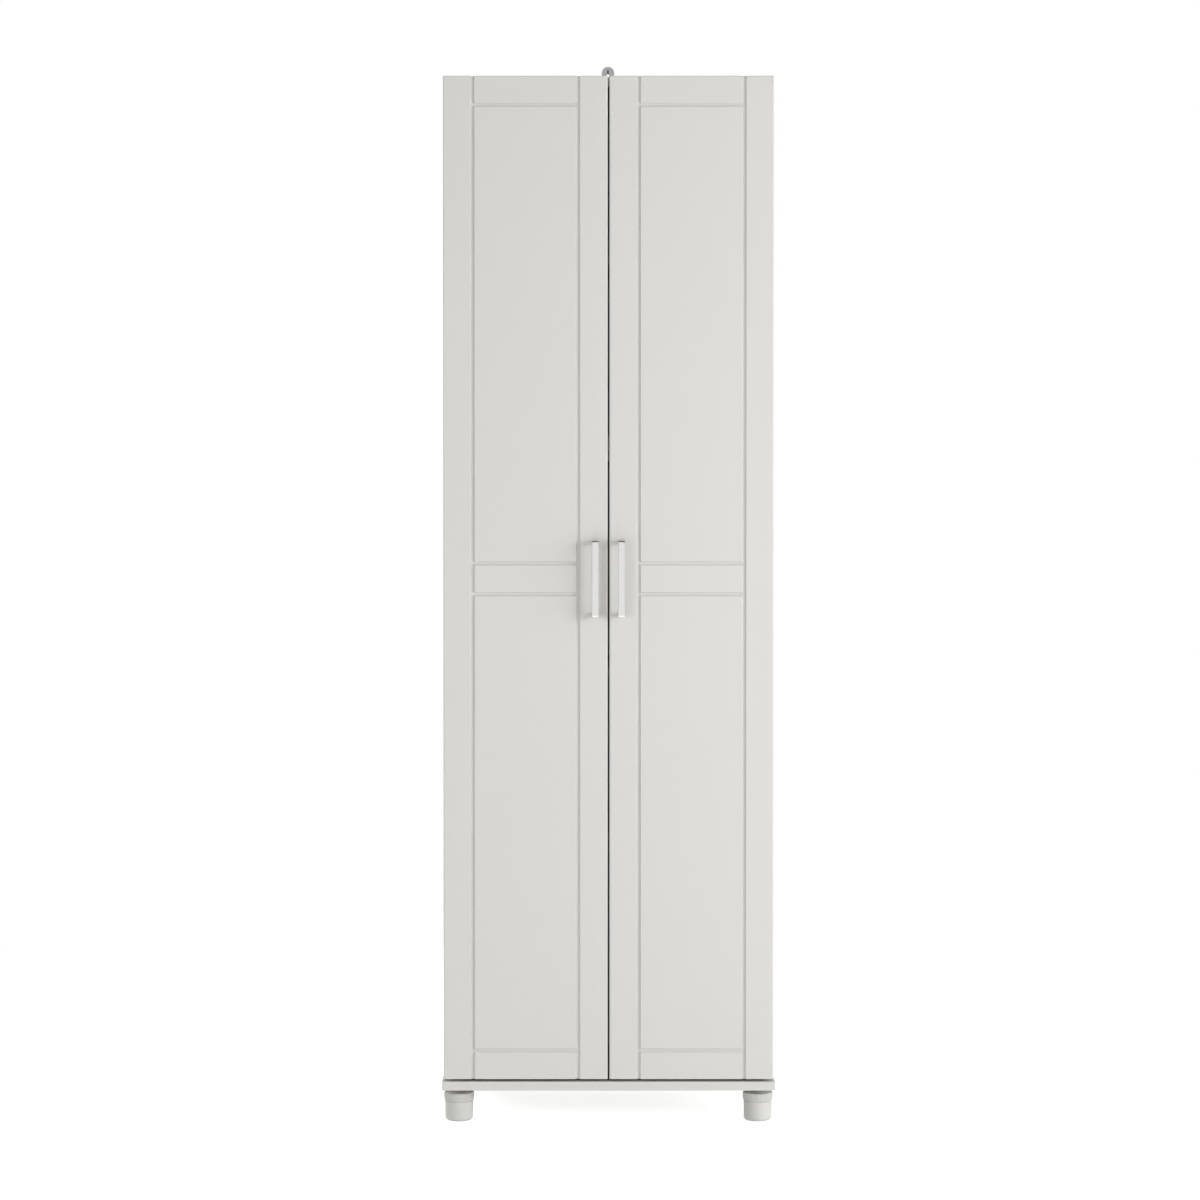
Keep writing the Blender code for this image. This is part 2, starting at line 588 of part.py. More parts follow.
def wall_bracket():
    """A bent steel strap: a foot on the cabinet's top and a round-ended leg with a keyhole."""
    leg = bmesh.new()
    front = BRACKET_BACK - BRACKET_THICKNESS
    add_prism(leg, strap_outline(0), front, BRACKET_BACK, plane="XZ")
    item = place("wall_bracket", leg, "zinc")
    base = bmesh.new()
    add_box(base, (-BRACKET_WIDTH / 2, CABINET_BACK - BRACKET_FOOT, BRACKET_BOTTOM),
            (BRACKET_WIDTH / 2, front + BRACKET_THICKNESS / 2, BRACKET_BOTTOM + BRACKET_THICKNESS))
    cut(item, "bracket_foot", base, "UNION")
    radius = KEYHOLE_DIAMETER / 2
    slot = KEYHOLE_SLOT_WIDTH / 2
    slot_end = (0, BRACKET_TOP - KEYHOLE_SLOT_FROM_TOP - slot)
    corner = math.degrees(math.acos(slot / radius))
    outline = arc((0, KEYHOLE_HEIGHT), radius, 180 - corner, 360 + corner, SMALL_STEPS)
    outline += arc(slot_end, slot, 0, 180, SMALL_STEPS // 2)
    keyhole = bmesh.new()
    add_prism(keyhole, outline, front - FIT, BRACKET_BACK + FIT / 2, plane="XZ")
    cut(item, "keyhole", keyhole)
    middle = CABINET_BACK - BRACKET_SCREW_FROM_BACK
    hole = bmesh.new()
    add_rod(hole, (0, middle, BRACKET_BOTTOM - FIT), "Z", BRACKET_THICKNESS + 2 * FIT,
            BRACKET_SCREW_DIAMETER + 2 * FIT, SMALL_STEPS)
    cut(item, "bracket_foot_hole", hole)
    shank = BRACKET_SCREW_DIAMETER / 2
    head = BRACKET_SCREW_HEAD_DIAMETER / 2
    seat = BRACKET_BOTTOM + BRACKET_THICKNESS + FIT
    end = CARCASS_TOP - BRACKET_SCREW_LENGTH
    crown = seat + BRACKET_SCREW_HEAD_HEIGHT
    rim = seat + BRACKET_SCREW_HEAD_HEIGHT / 2
    profile = ((0, end), (shank, end), (shank, seat), (head, seat), (head, rim),
               (head - SCREW_CROWN, crown), (0, crown))
    screw = bmesh.new()
    turned(screw, profile, SMALL_STEPS, closed=False)
    bmesh.ops.translate(screw, verts=screw.verts, vec=(0, middle, 0))
    place("bracket_screw", screw, "zinc", smooth=True)


def wall_pad():
    """The thin soft pad behind the bracket's leg, open only where the wall screw passes."""
    pad = bmesh.new()
    add_prism(pad, strap_outline(PAD_INSET), CABINET_BACK - PAD_THICKNESS, CABINET_BACK, plane="XZ")
    item = place("wall_pad", pad, "rubber")
    hole = bmesh.new()
    start = (0, CABINET_BACK - PAD_THICKNESS - FIT / 2, KEYHOLE_HEIGHT)
    add_rod(hole, start, "Y", PAD_THICKNESS + FIT, KEYHOLE_DIAMETER + 2 * FIT, SMALL_STEPS)
    cut(item, "pad_hole", hole)


def foot_stud(word, x, y):
    """A threaded stud, drawn plain: its flange lies under the base board and its shank hangs down."""
    shank = STUD_DIAMETER / 2
    flange = STUD_FLANGE_DIAMETER / 2
    top = FOOT_HEIGHT + STUD_IN_BOARD
    under = FOOT_HEIGHT - FIT
    tip = RING_BOTTOM - FOOT_TRAVEL - THREAD_GRIP
    lower = under - STUD_FLANGE_THICKNESS
    profile = ((0, tip), (shank, tip), (shank, lower), (flange, lower), (flange, under),
               (shank, under), (shank, top), (0, top))
    stud = bmesh.new()
    turned(stud, profile, ROUND_STEPS, closed=False)
    bmesh.ops.translate(stud, verts=stud.verts, vec=(x, y, 0))
    place(f"foot_stud_{word}", stud, "zinc", smooth=True)


def foot_ring(word, x, y, carrier):
    """The ribbed ring that is turned by hand to raise or lower the foot."""
    outer = RING_DIAMETER / 2
    cone = FOOT_TOP_DIAMETER / 2
    bore = STUD_DIAMETER / 2 + FIT
    ribs = RING_TOP - RIBBED_HEIGHT
    profile = ((bore, RING_BOTTOM), (cone, RING_BOTTOM), (outer, ribs), (outer, RING_TOP),
               (outer - RING_RIM, RING_TOP), (outer - RING_RIM, RING_TOP - RING_RECESS),
               (bore, RING_TOP - RING_RECESS))
    ring = bmesh.new()
    turned(ring, profile, 2 * RIB_COUNT)
    for vert in ring.verts:
        step = round(math.atan2(vert.co.y, vert.co.x) / (math.pi / RIB_COUNT))
        if vert.co.xy.length > outer - RIB_DEPTH and step % 2:
            vert.co.xy *= (outer - RIB_DEPTH) / outer
    bmesh.ops.translate(ring, verts=ring.verts, vec=(x, y, 0))
    place(f"foot_ring_{word}", ring, "foot_plastic", smooth=True, carrier=carrier)


def foot_cup(word, x, y, carrier):
    """The foot: slightly tapered, with a rounded lower edge, a flat sole and a bore for the stud."""
    top = FOOT_TOP_DIAMETER / 2
    bottom = FOOT_BOTTOM_DIAMETER / 2
    bore = STUD_DIAMETER / 2 + FIT
    height = RING_BOTTOM - FIT
    rounded = arc((bottom - FOOT_EDGE_RADIUS, FOOT_EDGE_RADIUS), FOOT_EDGE_RADIUS, -90, 0, 4)
    depth = height - FOOT_TRAVEL - THREAD_GRIP - FIT
    profile = [(0, 0)] + rounded + [(top, height), (bore, height), (bore, depth), (0, depth)]
    cup = bmesh.new()
    turned(cup, profile, FOOT_STEPS, closed=False)
    bmesh.ops.translate(cup, verts=cup.verts, vec=(x, y, 0))
    place(f"foot_cup_{word}", cup, "foot_plastic", smooth=True, carrier=carrier)


def build_cabinet():
    """Every piece of the cabinet, from the floor up."""
    clear_scene()
    for word, x, y in foot_spots():
        foot_stud(word, x, y)
        screw_axis = joint_axis(f"foot_axis_{word}", (x, y, 0))
        foot_cup(word, x, y, screw_axis)
        foot_ring(word, x, y, screw_axis)
    carcass_boards()
    loose_shelves()
    shelf_pins()
    magnetic_catch()
    wall_bracket()
    wall_pad()
    for word, side in SIDES:
        hinge_axis = joint_axis(f"{word}_hinge_axis", (side * HINGE_X, HINGE_Y, DOOR_MIDDLE))
        door(word, side, hinge_axis)
        handle(word, side, hinge_axis)
        handle_screws(word, side, hinge_axis)
        strike_plate(word, side, hinge_axis)
        for level, z in zip(("lower", "middle", "upper"), HINGE_HEIGHTS):
            hinge_cup(f"{word}_hinge_cup_{level}", side, z, hinge_axis)
            hinge_arm(f"{word}_hinge_arm_{level}", side, z)


build_cabinet()
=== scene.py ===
# %% [markdown]
# # A tall garage cabinet, dressed for its portrait
#
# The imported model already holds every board, hinge, pin and foot at its real size and place. This
# script keeps those places and makes what the eye sees: rounded board edges, routed grooves, brushed
# and plated metal, moulded feet, and the light of a plain studio. It starts by loading that model,
# because every new piece is measured from it.

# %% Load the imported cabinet
import json
import math
from contextlib import contextmanager

import bmesh
import bpy
from mathutils import Matrix, Vector


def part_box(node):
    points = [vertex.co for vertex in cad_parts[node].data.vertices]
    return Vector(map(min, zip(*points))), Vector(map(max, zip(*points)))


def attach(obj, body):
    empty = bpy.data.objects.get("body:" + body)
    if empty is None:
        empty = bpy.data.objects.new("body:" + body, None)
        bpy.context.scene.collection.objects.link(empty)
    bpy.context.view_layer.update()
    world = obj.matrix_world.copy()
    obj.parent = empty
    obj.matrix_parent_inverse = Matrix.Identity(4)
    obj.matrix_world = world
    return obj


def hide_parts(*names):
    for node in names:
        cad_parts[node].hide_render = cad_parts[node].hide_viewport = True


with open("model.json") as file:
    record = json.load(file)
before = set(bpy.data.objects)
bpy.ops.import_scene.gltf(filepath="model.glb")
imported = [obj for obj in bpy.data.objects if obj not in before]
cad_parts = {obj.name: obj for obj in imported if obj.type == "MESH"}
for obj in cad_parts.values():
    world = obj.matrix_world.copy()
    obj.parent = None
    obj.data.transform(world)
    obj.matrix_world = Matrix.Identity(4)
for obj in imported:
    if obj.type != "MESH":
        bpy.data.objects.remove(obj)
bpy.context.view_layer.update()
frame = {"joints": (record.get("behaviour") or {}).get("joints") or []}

MM = 0.001  # every size below is a real one, written in millimetres

# %% [markdown]
# ## The camera
#
# The photograph was taken from straight in front with a long lens, from about eye height, so that the
# cabinet's sides hardly converge. A large shift would keep them parallel, but spoil every other view of
# the model. A nearer and lower stand looks down on the base board and the feet as steeply as the
# photograph does, keeps the outline to within a pixel or so, and needs only a slight tilt and a small
# shift.

# %% Set up the camera
DOOR_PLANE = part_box("left_door")[0].y
CAMERA_DISTANCE = 5.2
CAMERA_HEIGHT = 1.120
CAMERA_SIDE = -0.0152
CAMERA_TILT = 0.946  # degrees below level
LENS = 87.52
SHIFT_DOWN = 0.045

camera_data = bpy.data.cameras.new("camera")
camera_data.lens = LENS
camera_data.sensor_width = 36
camera_data.shift_y = -SHIFT_DOWN
camera = bpy.data.objects.new("camera", camera_data)
camera.location = (CAMERA_SIDE, DOOR_PLANE - CAMERA_DISTANCE, CAMERA_HEIGHT)
camera.rotation_euler = (math.radians(90 - CAMERA_TILT), 0, 0)
bpy.context.scene.collection.objects.link(camera)
bpy.context.scene.camera = camera
print(f"the camera stands {CAMERA_DISTANCE} m in front of the doors")

# %% [markdown]
# ## Writing light and materials as sums
#
# A finish is a colour that drifts a little, a roughness that isn't quite even and a surface that isn't
# quite flat. Node by node that is long to write and hard to read, so a small class wraps a node's output
# and turns +, - and * into Math nodes. A second one adds any other node to a tree, which may be the
# room's light as well as a material's.

# %% A socket that can be used in a sum
class Wire:
    """A node's output, or a formula of several."""

    def __init__(self, book, socket):
        self.book = book
        self.socket = socket

    def maths(self, operation, *values):
        return self.book.node("ShaderNodeMath", {"operation": operation}, dict(enumerate(values)))

    def __add__(self, other):
        return self.maths("ADD", self, other)

    def __radd__(self, other):
        return self.maths("ADD", other, self)

    def __sub__(self, other):
        return self.maths("SUBTRACT", self, other)

    def __rsub__(self, other):
        return self.maths("SUBTRACT", other, self)

    def __mul__(self, other):
        return self.maths("MULTIPLY", self, other)

    def __rmul__(self, other):
        return self.maths("MULTIPLY", other, self)

    def __lt__(self, other):
        return self.maths("LESS_THAN", self, other)

    def __abs__(self):
        return self.maths("ABSOLUTE", self)


# %% A tree that nodes can be added to, and a material
class NodeBook:
    """A tree of nodes, with one method for every kind of node."""

    def __init__(self, owner):
        owner.use_nodes = True
        self.tree = owner.node_tree

    def node(self, kind, settings=None, inputs=None, output=0):
        """Add a node; its settings come first, because they can change its sockets."""
        made = self.tree.nodes.new(kind)
        for key, value in (settings or {}).items():
            setattr(made, key, value)
        for key, value in (inputs or {}).items():
            self.give(made.inputs[key], value)
        return Wire(self, made.outputs[output])

    def give(self, socket, value):
        """Link a formula to a socket, or write a plain value on it."""
        if isinstance(value, Wire):
            self.tree.links.new(value.socket, socket)
        else:
            socket.default_value = value

    def split(self, vector, letter):
        """One coordinate of a vector."""
        return self.node("ShaderNodeSeparateXYZ", inputs={0: vector}, output=letter)

    def seen_by(self, kind):
        """1 for a kind of ray, such as the camera's, and 0 for all others."""
        return self.node("ShaderNodeLightPath", output=f"Is {kind} Ray")

    def ramp(self, value, start, end, first=0.0, last=1.0):
        """A soft step from one level to another between two values."""
        inputs = {"Value": value, "From Min": start, "From Max": end, "To Min": first, "To Max": last}
        return self.node("ShaderNodeMapRange", {"interpolation_type": "SMOOTHSTEP"}, inputs)


class Finish(NodeBook):
    """A Principled material."""

    def __init__(self, name, **even):
        self.material = bpy.data.materials.new(name)
        super().__init__(self.material)
        self.shader = self.tree.nodes["Principled BSDF"]
        self.place = self.node("ShaderNodeTexCoord", output="Object")
        for socket, value in even.items():
            self.set(socket.replace("_", " "), value)

    def set(self, socket, value):
        self.give(self.shader.inputs[socket], value)

    def noise(self, scale, detail=2.0, stretch=(1, 1, 1)):
        """Noise between 0 and 1 around a half; scale is in features per metre."""
        spot = self.node("ShaderNodeMapping", inputs={"Vector": self.place, "Scale": stretch})
        return self.node("ShaderNodeTexNoise", inputs={"Vector": spot, "Scale": scale, "Detail": detail})

    def blend(self, factor, first, second):
        """A colour between two others, which may be formulas themselves."""
        first, second = (end if isinstance(end, Wire) else (*end, 1) for end in (first, second))
        return self.node("ShaderNodeMix", {"data_type": "RGBA"}, {0: factor, 6: first, 7: second}, output=2)

    def relief(self, height, depth, strength=1.0):
        """Lift the surface by a height between 0 and 1, times a depth in metres."""
        inputs = {"Height": height, "Distance": depth, "Strength": strength}
        self.set("Normal", self.node("ShaderNodeBump", inputs=inputs))


def shade(colour, share):
    """A colour made darker or lighter by a share."""
    return tuple(part * share for part in colour)


# %% [markdown]
# ## Light
#
# The handles in the photograph tell where the lamps stood. Each one throws a soft shadow about 27 mm to
# its left, nearly as far as it stands out from the door, and a little down: the main lamp was some 45
# degrees to the right and above the handles. A fainter shadow on the other side tells of a weaker lamp
# at the left. Both are shallow, and the doors grow lighter towards the right, so most of the light came
# from a big soft surface on that side and from the white room. One more lamp hangs over the cabinet, and
# one stands behind it, so that its top and back are as pale as the rest. They hardly reach the front.
#
# The world is the room. It is white where the camera or a shiny surface looks straight at it, with a
# darker ceiling and greyer side walls that only metal shows, and it is dimmer as a source of light, so
# that pale boards don't burn out. Reflections show the room alone: the lamps are hidden from them.

# %% Hang five soft lamps
ROOM_LIGHT = 0.545
CEILING_LIGHT = 0.10
SIDE_LIGHT = 0.58


def soft_lamp(name, place, target, width, height, watts):
    """A rectangular lamp that faces a target."""
    lamp = bpy.data.lights.new(name, "AREA")
    lamp.shape = "RECTANGLE"
    lamp.size = width
    lamp.size_y = height
    lamp.energy = watts
    item = bpy.data.objects.new(name, lamp)
    item.location = place
    item.rotation_euler = (Vector(target) - Vector(place)).to_track_quat("-Z", "Y").to_euler()
    item.visible_camera = False
    item.visible_glossy = False
    bpy.context.scene.collection.objects.link(item)
    print(f"{name}: {watts} W, {width} by {height} m")


DOOR_MIDDLE = (0, DOOR_PLANE, 0.95)
soft_lamp("key_lamp", (2.43, -2.56, 1.32), DOOR_MIDDLE, 0.55, 0.80, 20.0)
soft_lamp("side_lamp", (3.30, -1.90, 1.00), DOOR_MIDDLE, 2.40, 2.40, 73.0)
soft_lamp("fill_lamp", (-1.63, -3.39, 1.05), DOOR_MIDDLE, 1.10, 1.10, 15.0)
soft_lamp("top_lamp", (0, 0.20, 2.95), (0, 0.20, 1.87), 0.54, 0.70, 4.0)
soft_lamp("back_lamp", (-2.50, 2.20, 1.20), (0, 0.20, 0.95), 2.00, 2.00, 45.0)

# %% Set the white room
world = bpy.data.worlds.new("white_room")
bpy.context.scene.world = world
room = NodeBook(world)
direction = room.node("ShaderNodeTexCoord", output="Generated")
ceiling = room.ramp(room.split(direction, "Z"), 0.16, 0.42, 1.0, CEILING_LIGHT)  # 9 to 25 degrees up
walls = room.ramp(abs(room.split(direction, "X")), 0.20, 0.60, 1.0, SIDE_LIGHT)  # 12 to 37 degrees aside
shiny = room.seen_by("Glossy")
direct = room.seen_by("Camera") + room.seen_by("Transmission")
strength = direct + shiny * ceiling * walls + (1 - direct - shiny) * ROOM_LIGHT
sky = world.node_tree.nodes["Background"]
room.give(sky.inputs["Strength"], strength)
sky.inputs["Color"].default_value = (1, 1, 1, 1)

bpy.context.scene.view_settings.view_transform = "Standard"
print(f"room: {ROOM_LIGHT} as a light, {CEILING_LIGHT} in the ceiling's reflection")

# %% [markdown]
# ## Laminate
#
# The boards are chipboard under a pale, faintly warm grey melamine skin. Its surface isn't glossy and
# not dead matt, because it is pressed with a texture as fine as orange peel. The front edges are closed
# with a strip of the same colour, and a hairline joint shows where strip and skin meet. The doors have
# the same colour as a smooth foil, drawn over a routed fibreboard, so they have no joint.

# %% The skins of boards and doors
GREY = (0.672, 0.664, 0.638)
EDGE_STRIP = 0.8 * MM
JOINT = 0.12 * MM
JOINT_GREY = (0.30, 0.29, 0.27)


def laminate(name, node):
    """Melamine skin with an edge strip, whose joint runs just behind a node's front edge."""
    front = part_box(node)[0].y
    skin = Finish(name)
    drift = skin.noise(3.0, 3.0)
    peel = skin.noise(850.0, 1.0)
    tone = drift * 0.7 + peel * 0.3
    behind = skin.split(skin.place, "Y") - (front + EDGE_STRIP)
    joint = abs(behind) < JOINT
    base = skin.blend(tone, shade(GREY, 0.985), shade(GREY, 1.015))
    skin.set("Base Color", skin.blend(joint * 0.45, base, JOINT_GREY))
    skin.set("Roughness", 0.40 + drift * 0.08 + peel * 0.06)
    skin.relief(peel - joint * 0.6, 0.04 * MM, 0.5)
    return skin.material


def door_foil(name):
    """Satin foil over a routed door."""
    foil = Finish(name)
    drift = foil.noise(2.2, 3.0)
    peel = foil.noise(600.0, 2.0)
    foil.set("Base Color", foil.blend(drift, shade(GREY, 0.988), shade(GREY, 1.012)))
    foil.set("Roughness", 0.36 + drift * 0.08 + peel * 0.05)
    foil.relief(peel, 0.03 * MM, 0.4)
    return foil.material


def hardboard_inside(name):
    """The pale lacquer on the back's inner face, with the fibres just showing through."""
    lacquer = Finish(name)
    fibre = lacquer.noise(420.0, 3.0)
    lacquer.set("Base Color", lacquer.blend(fibre, shade(GREY, 0.93), shade(GREY, 1.0)))
    lacquer.set("Roughness", 0.48 + fibre * 0.12)
    lacquer.relief(fibre, 0.05 * MM, 0.5)
    return lacquer.material


def hardboard_outside(name):
    """Raw pressed fibre: brown, with long pale and dark fibres lying every way."""
    fibre_board = Finish(name)
    along = fibre_board.noise(300.0, 3.0, (1.0, 1.0, 0.12))
    across = fibre_board.noise(300.0, 3.0, (0.12, 1.0, 1.0))
    cloud = fibre_board.noise(5.0, 4.0)
    fibres = along * 0.35 + across * 0.35 + cloud * 0.30
    fibre_board.set("Base Color", fibre_board.blend(fibres, (0.235, 0.155, 0.092), (0.485, 0.350, 0.230)))
    fibre_board.set("Roughness", 0.52 + fibres * 0.25)
    fibre_board.relief(along * 0.5 + across * 0.5, 0.1 * MM, 0.5)
    return fibre_board.material


BOARD_SKIN = laminate("board_laminate", "fixed_shelf")
SHELF_SKIN = laminate("shelf_laminate", "lower_shelf")
BASE_SKIN = laminate("base_laminate", "bottom_panel")
DOOR_SKIN = door_foil("door_foil")
BACK_INSIDE = hardboard_inside("hardboard_lacquer")
BACK_OUTSIDE = hardboard_outside("hardboard_fibre")
print("skins: boards, shelves, base, doors, and both faces of the hardboard back")

# %% [markdown]
# ## Metal and plastic
#
# The handles are brushed nickel: fine scratches run along the bar, so the noise that makes them is
# stretched a hundredfold that way. Hinges are pressed steel with a brighter, slightly milky nickel plate,
# which keeps them pale inside the cabinet, where there is little to mirror. Screws, pins and bracket
# have a dull zinc plate with a faint bloom, and the feet's studs a brighter one. The feet and the catch
# are moulded plastic with a fine spark-eroded texture.

# %% Metals and plastics
def brushed_nickel(name, stretch):
    """Satin nickel whose scratches run along the axis that the noise is stretched on."""
    nickel = Finish(name, Metallic=1.0)
    scratch = nickel.noise(1600.0, 2.0, stretch)
    smear = nickel.noise(30.0, 2.0)
    nickel.set("Base Color", nickel.blend(scratch, (0.79, 0.785, 0.77), (0.90, 0.895, 0.88)))
    nickel.set("Roughness", 0.24 + scratch * 0.14 + smear * 0.06)
    nickel.relief(scratch, 0.02 * MM, 0.6)
    return nickel.material


def plated_steel(name, low, high, roughness, metallic=1.0):
    """Plated steel with a cloudy bloom and the small dimples of the pressing."""
    plate = Finish(name, Metallic=metallic)
    bloom = plate.noise(90.0, 3.0)
    dimple = plate.noise(1200.0, 1.0)
    plate.set("Base Color", plate.blend(bloom, low, high))
    plate.set("Roughness", roughness - 0.06 + bloom * 0.14)
    plate.relief(dimple, 0.02 * MM, 0.4)
    return plate.material


def moulded(name, colour, roughness):
    """Moulded plastic: an even colour and a fine eroded texture."""
    plastic = Finish(name)
    grain = plastic.noise(1500.0, 2.0)
    drift = plastic.noise(25.0, 2.0)
    plastic.set("Base Color", plastic.blend(drift, shade(colour, 0.97), shade(colour, 1.03)))
    plastic.set("Roughness", roughness + grain * 0.12)
    plastic.relief(grain, 0.05 * MM, 0.5)
    return plastic.material


HANDLE_NICKEL = brushed_nickel("brushed_nickel", (1.0, 1.0, 0.01))
HINGE_NICKEL = plated_steel("nickel_plate", (0.72, 0.715, 0.70), (0.84, 0.835, 0.82), 0.34, 0.7)
ZINC = plated_steel("zinc_plate", (0.47, 0.475, 0.485), (0.60, 0.605, 0.61), 0.36)
BRIGHT_ZINC = plated_steel("bright_zinc", (0.66, 0.665, 0.67), (0.78, 0.785, 0.79), 0.40, 0.6)
FOOT_PLASTIC = moulded("foot_plastic", (0.64, 0.635, 0.61), 0.44)
CATCH_PLASTIC = moulded("catch_plastic", (0.74, 0.73, 0.70), 0.40)
MAGNET = moulded("magnet_ferrite", (0.045, 0.045, 0.05), 0.50)
# The pad behind the bracket: its near-black, seen through the slot, is painted shade.
SLOT_SHADE_BLACK = moulded("slot_shade_black", (0.035, 0.035, 0.036), 0.72)
print("metals: brushed nickel, nickel plate, dull and bright zinc; others: foot, catch, magnet, foam")

# %% [markdown]
# ## Tools of the bench
#
# A cube or a circle is added at its size and place, and then shaped in edit mode, as it would be by
# hand. Faces and edges are picked by where they lie. A piece is kept with its place in its mesh and its
# own origin at the world's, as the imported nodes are, so that a material reads true coordinates.

# %% Select, add and round
def only(piece):
    """Make a piece the only selected one, and the active one."""
    bpy.ops.object.select_all(action="DESELECT")
    piece.select_set(True)
    bpy.context.view_layer.objects.active = piece


@contextmanager
def editing(piece):
    """Edit mode on one piece, with everything in it selected."""
    only(piece)
    bpy.ops.object.mode_set(mode="EDIT")
    bpy.ops.mesh.select_mode(type="VERT")
    bpy.ops.mesh.select_all(action="SELECT")
    yield
    bpy.ops.object.mode_set(mode="OBJECT")


def middle_of(item):
    """The middle of an edge or a face."""
    if isinstance(item, bmesh.types.BMEdge):
        return (item.verts[0].co + item.verts[1].co) / 2
    return item.calc_center_median()


def pick(piece, kind, test):
    """In edit mode, select the vertices, edges or faces that pass a test."""
    bpy.ops.mesh.select_mode(type=kind)
    bpy.ops.mesh.select_all(action="DESELECT")
    mesh = bmesh.from_edit_mesh(piece.data)
    for item in {"VERT": mesh.verts, "EDGE": mesh.edges, "FACE": mesh.faces}[kind]:
        if test(item):
            item.select_set(True)
    bmesh.update_edit_mesh(piece.data)


def running(axis, length):
    """A test for the edges that run along an axis by more than a length."""
    return lambda edge: abs((edge.verts[0].co - edge.verts[1].co)[axis]) > length


def placed(name):
    """Name the new primitive, and put its place and size into its mesh."""
    piece = bpy.context.object
    piece.name = name
    bpy.ops.object.transform_apply(location=True, rotation=True, scale=True)
    return piece


def block(name, low, high):
    """A cube between two corners."""
    low, high = Vector(low), Vector(high)
    bpy.ops.mesh.primitive_cube_add(size=1, location=(low + high) / 2, scale=high - low)
    return placed(name)


def rod(name, start, end, radius, steps=32):
    """A cylinder between two points."""
    start, end = Vector(start), Vector(end)
    turn = (end - start).to_track_quat("Z", "Y").to_euler()
    bpy.ops.mesh.primitive_cylinder_add(vertices=steps, radius=radius, depth=(end - start).length,
                                        location=(start + end) / 2, rotation=turn)
    return placed(name)


def outlined(name, points):
    """A closed line through points, from a circle primitive with as many of them."""
    bpy.ops.mesh.primitive_circle_add(vertices=len(points), radius=1)
    line = placed(name)
    for vert, point in zip(line.data.vertices, points):
        vert.co = point
    return line


def discard(*pieces):
    """Clear tools and patterns away."""
    for piece in pieces:
        bpy.data.objects.remove(piece, do_unlink=True)


def round_sharp(piece, radius, segments=2, sharpness=20):
    """Round every edge that is sharper than an angle in degrees."""
    with editing(piece):
        bpy.ops.mesh.select_mode(type="EDGE")
        bpy.ops.mesh.select_all(action="DESELECT")
        bpy.ops.mesh.edges_select_sharp(sharpness=math.radians(sharpness))
        bpy.ops.mesh.bevel(offset=radius, segments=segments, affect="EDGES")


def polish(piece, angle=35):
    """Smooth shading that leaves big flat faces flat."""
    only(piece)
    bpy.ops.object.shade_smooth_by_angle(angle=math.radians(angle))
    step = piece.modifiers.new("even_shading", "WEIGHTED_NORMAL")
    step.keep_sharp = True
    bpy.ops.object.modifier_apply(modifier=step.name)


def combine(piece, tool, operation="DIFFERENCE"):
    """Cut a tool out of a piece, or join it on, and clear the tool away."""
    only(piece)
    step = piece.modifiers.new("work", "BOOLEAN")
    step.operation = operation
    step.solver = "EXACT"
    step.object = tool
    bpy.ops.object.modifier_apply(modifier=step.name)
    discard(tool)


def joined(name, pieces):
    """Several pieces as one object."""
    only(pieces[0])
    for piece in pieces[1:]:
        piece.select_set(True)
    bpy.ops.object.join()
    whole = bpy.context.object
    whole.name = name
    return whole


def twin(piece, name, matrix):
    """A copy with its own mesh, moved by a matrix; a mirror image has its faces turned back."""
    data = piece.data.copy()
    data.transform(matrix)
    if matrix.determinant() < 0:
        data.flip_normals()
    copy = bpy.data.objects.new(name, data)
    bpy.context.scene.collection.objects.link(copy)
    return copy


def dress(piece, body, finish=None, nodes=()):
    """Hang a piece on its body, hide the imported nodes it takes the place of, and give it its finish."""
    if finish:
        piece.data.materials.append(finish)
    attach(piece, body)
    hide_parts(*nodes)
    print(f"{piece.name}: {len(piece.data.polygons)} faces on {body}")


def centre(node):
    """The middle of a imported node's box."""
    low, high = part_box(node)
    return (low + high) / 2


MIRROR = Matrix.Scale(-1, 4, (1, 0, 0))
SIDES = (("left", -1), ("right", 1))
LEVELS = ("lower", "middle", "upper")

# %% [markdown]
# ## The boards
#
# A sawn board has no razor edges: the edge strip is rounded over by about half a millimetre, and that
# sliver is what catches the light along a shelf or the base. Each board is a cube at its node's size,
# bevelled all round. The side panels then get their rows of blind holes, at every pin and 32 mm above
# and below it.

# %% Base, top and shelves
ROUND_OVER = 0.6 * MM


def board(name, node, skin):
    """One board at its node's place, with its edges rounded over."""
    low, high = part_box(node)
    piece = block(name, low, high)
    round_sharp(piece, ROUND_OVER)
    polish(piece)
    dress(piece, "cabinet", skin, [node])


board("base_board", "bottom_panel", BASE_SKIN)
board("top_board", "top_panel", BOARD_SKIN)
board("fixed_shelf_board", "fixed_shelf", BOARD_SKIN)
for level in LEVELS:
    board(f"{level}_shelf_board", f"{level}_shelf", SHELF_SKIN)

# %% Side panels with their rows of pin holes
HOLE_RADIUS = 2.8 * MM
HOLE_DEPTH = 9.3 * MM
HOLE_PITCH = 32 * MM


def side_board(word, side):
    """A side panel, drilled on its inner face."""
    node = f"{word}_side_panel"
    low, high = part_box(node)
    inner = low.x if side > 0 else high.x
    panel = block(f"{word}_side_board", low, high)
    round_sharp(panel, ROUND_OVER)
    bits = []
    for level in LEVELS:
        for row in ("front", "back"):
            spot = centre(f"pin_{level}_{row}_{word}")
            for step in (-1, 0, 1):
                start = Vector((inner - side * MM, spot.y, spot.z + step * HOLE_PITCH))
                end = start + Vector((side * (HOLE_DEPTH + MM), 0, 0))
                bits.append(rod("bit", start, end, HOLE_RADIUS, 24))
    combine(panel, joined("bits", bits))
    polish(panel)
    dress(panel, "cabinet", BOARD_SKIN, [node])


for word, side in SIDES:
    side_board(word, side)

# %% [markdown]
# ## The back
#
# The back is a sheet of thin hardboard nailed on from behind. Only its inner face is lacquered grey; the
# other side stays brown. One material per face does that: the faces that look backwards, and the sawn
# edges, take the raw fibre. The nails are small domed heads, a hand's breadth apart.

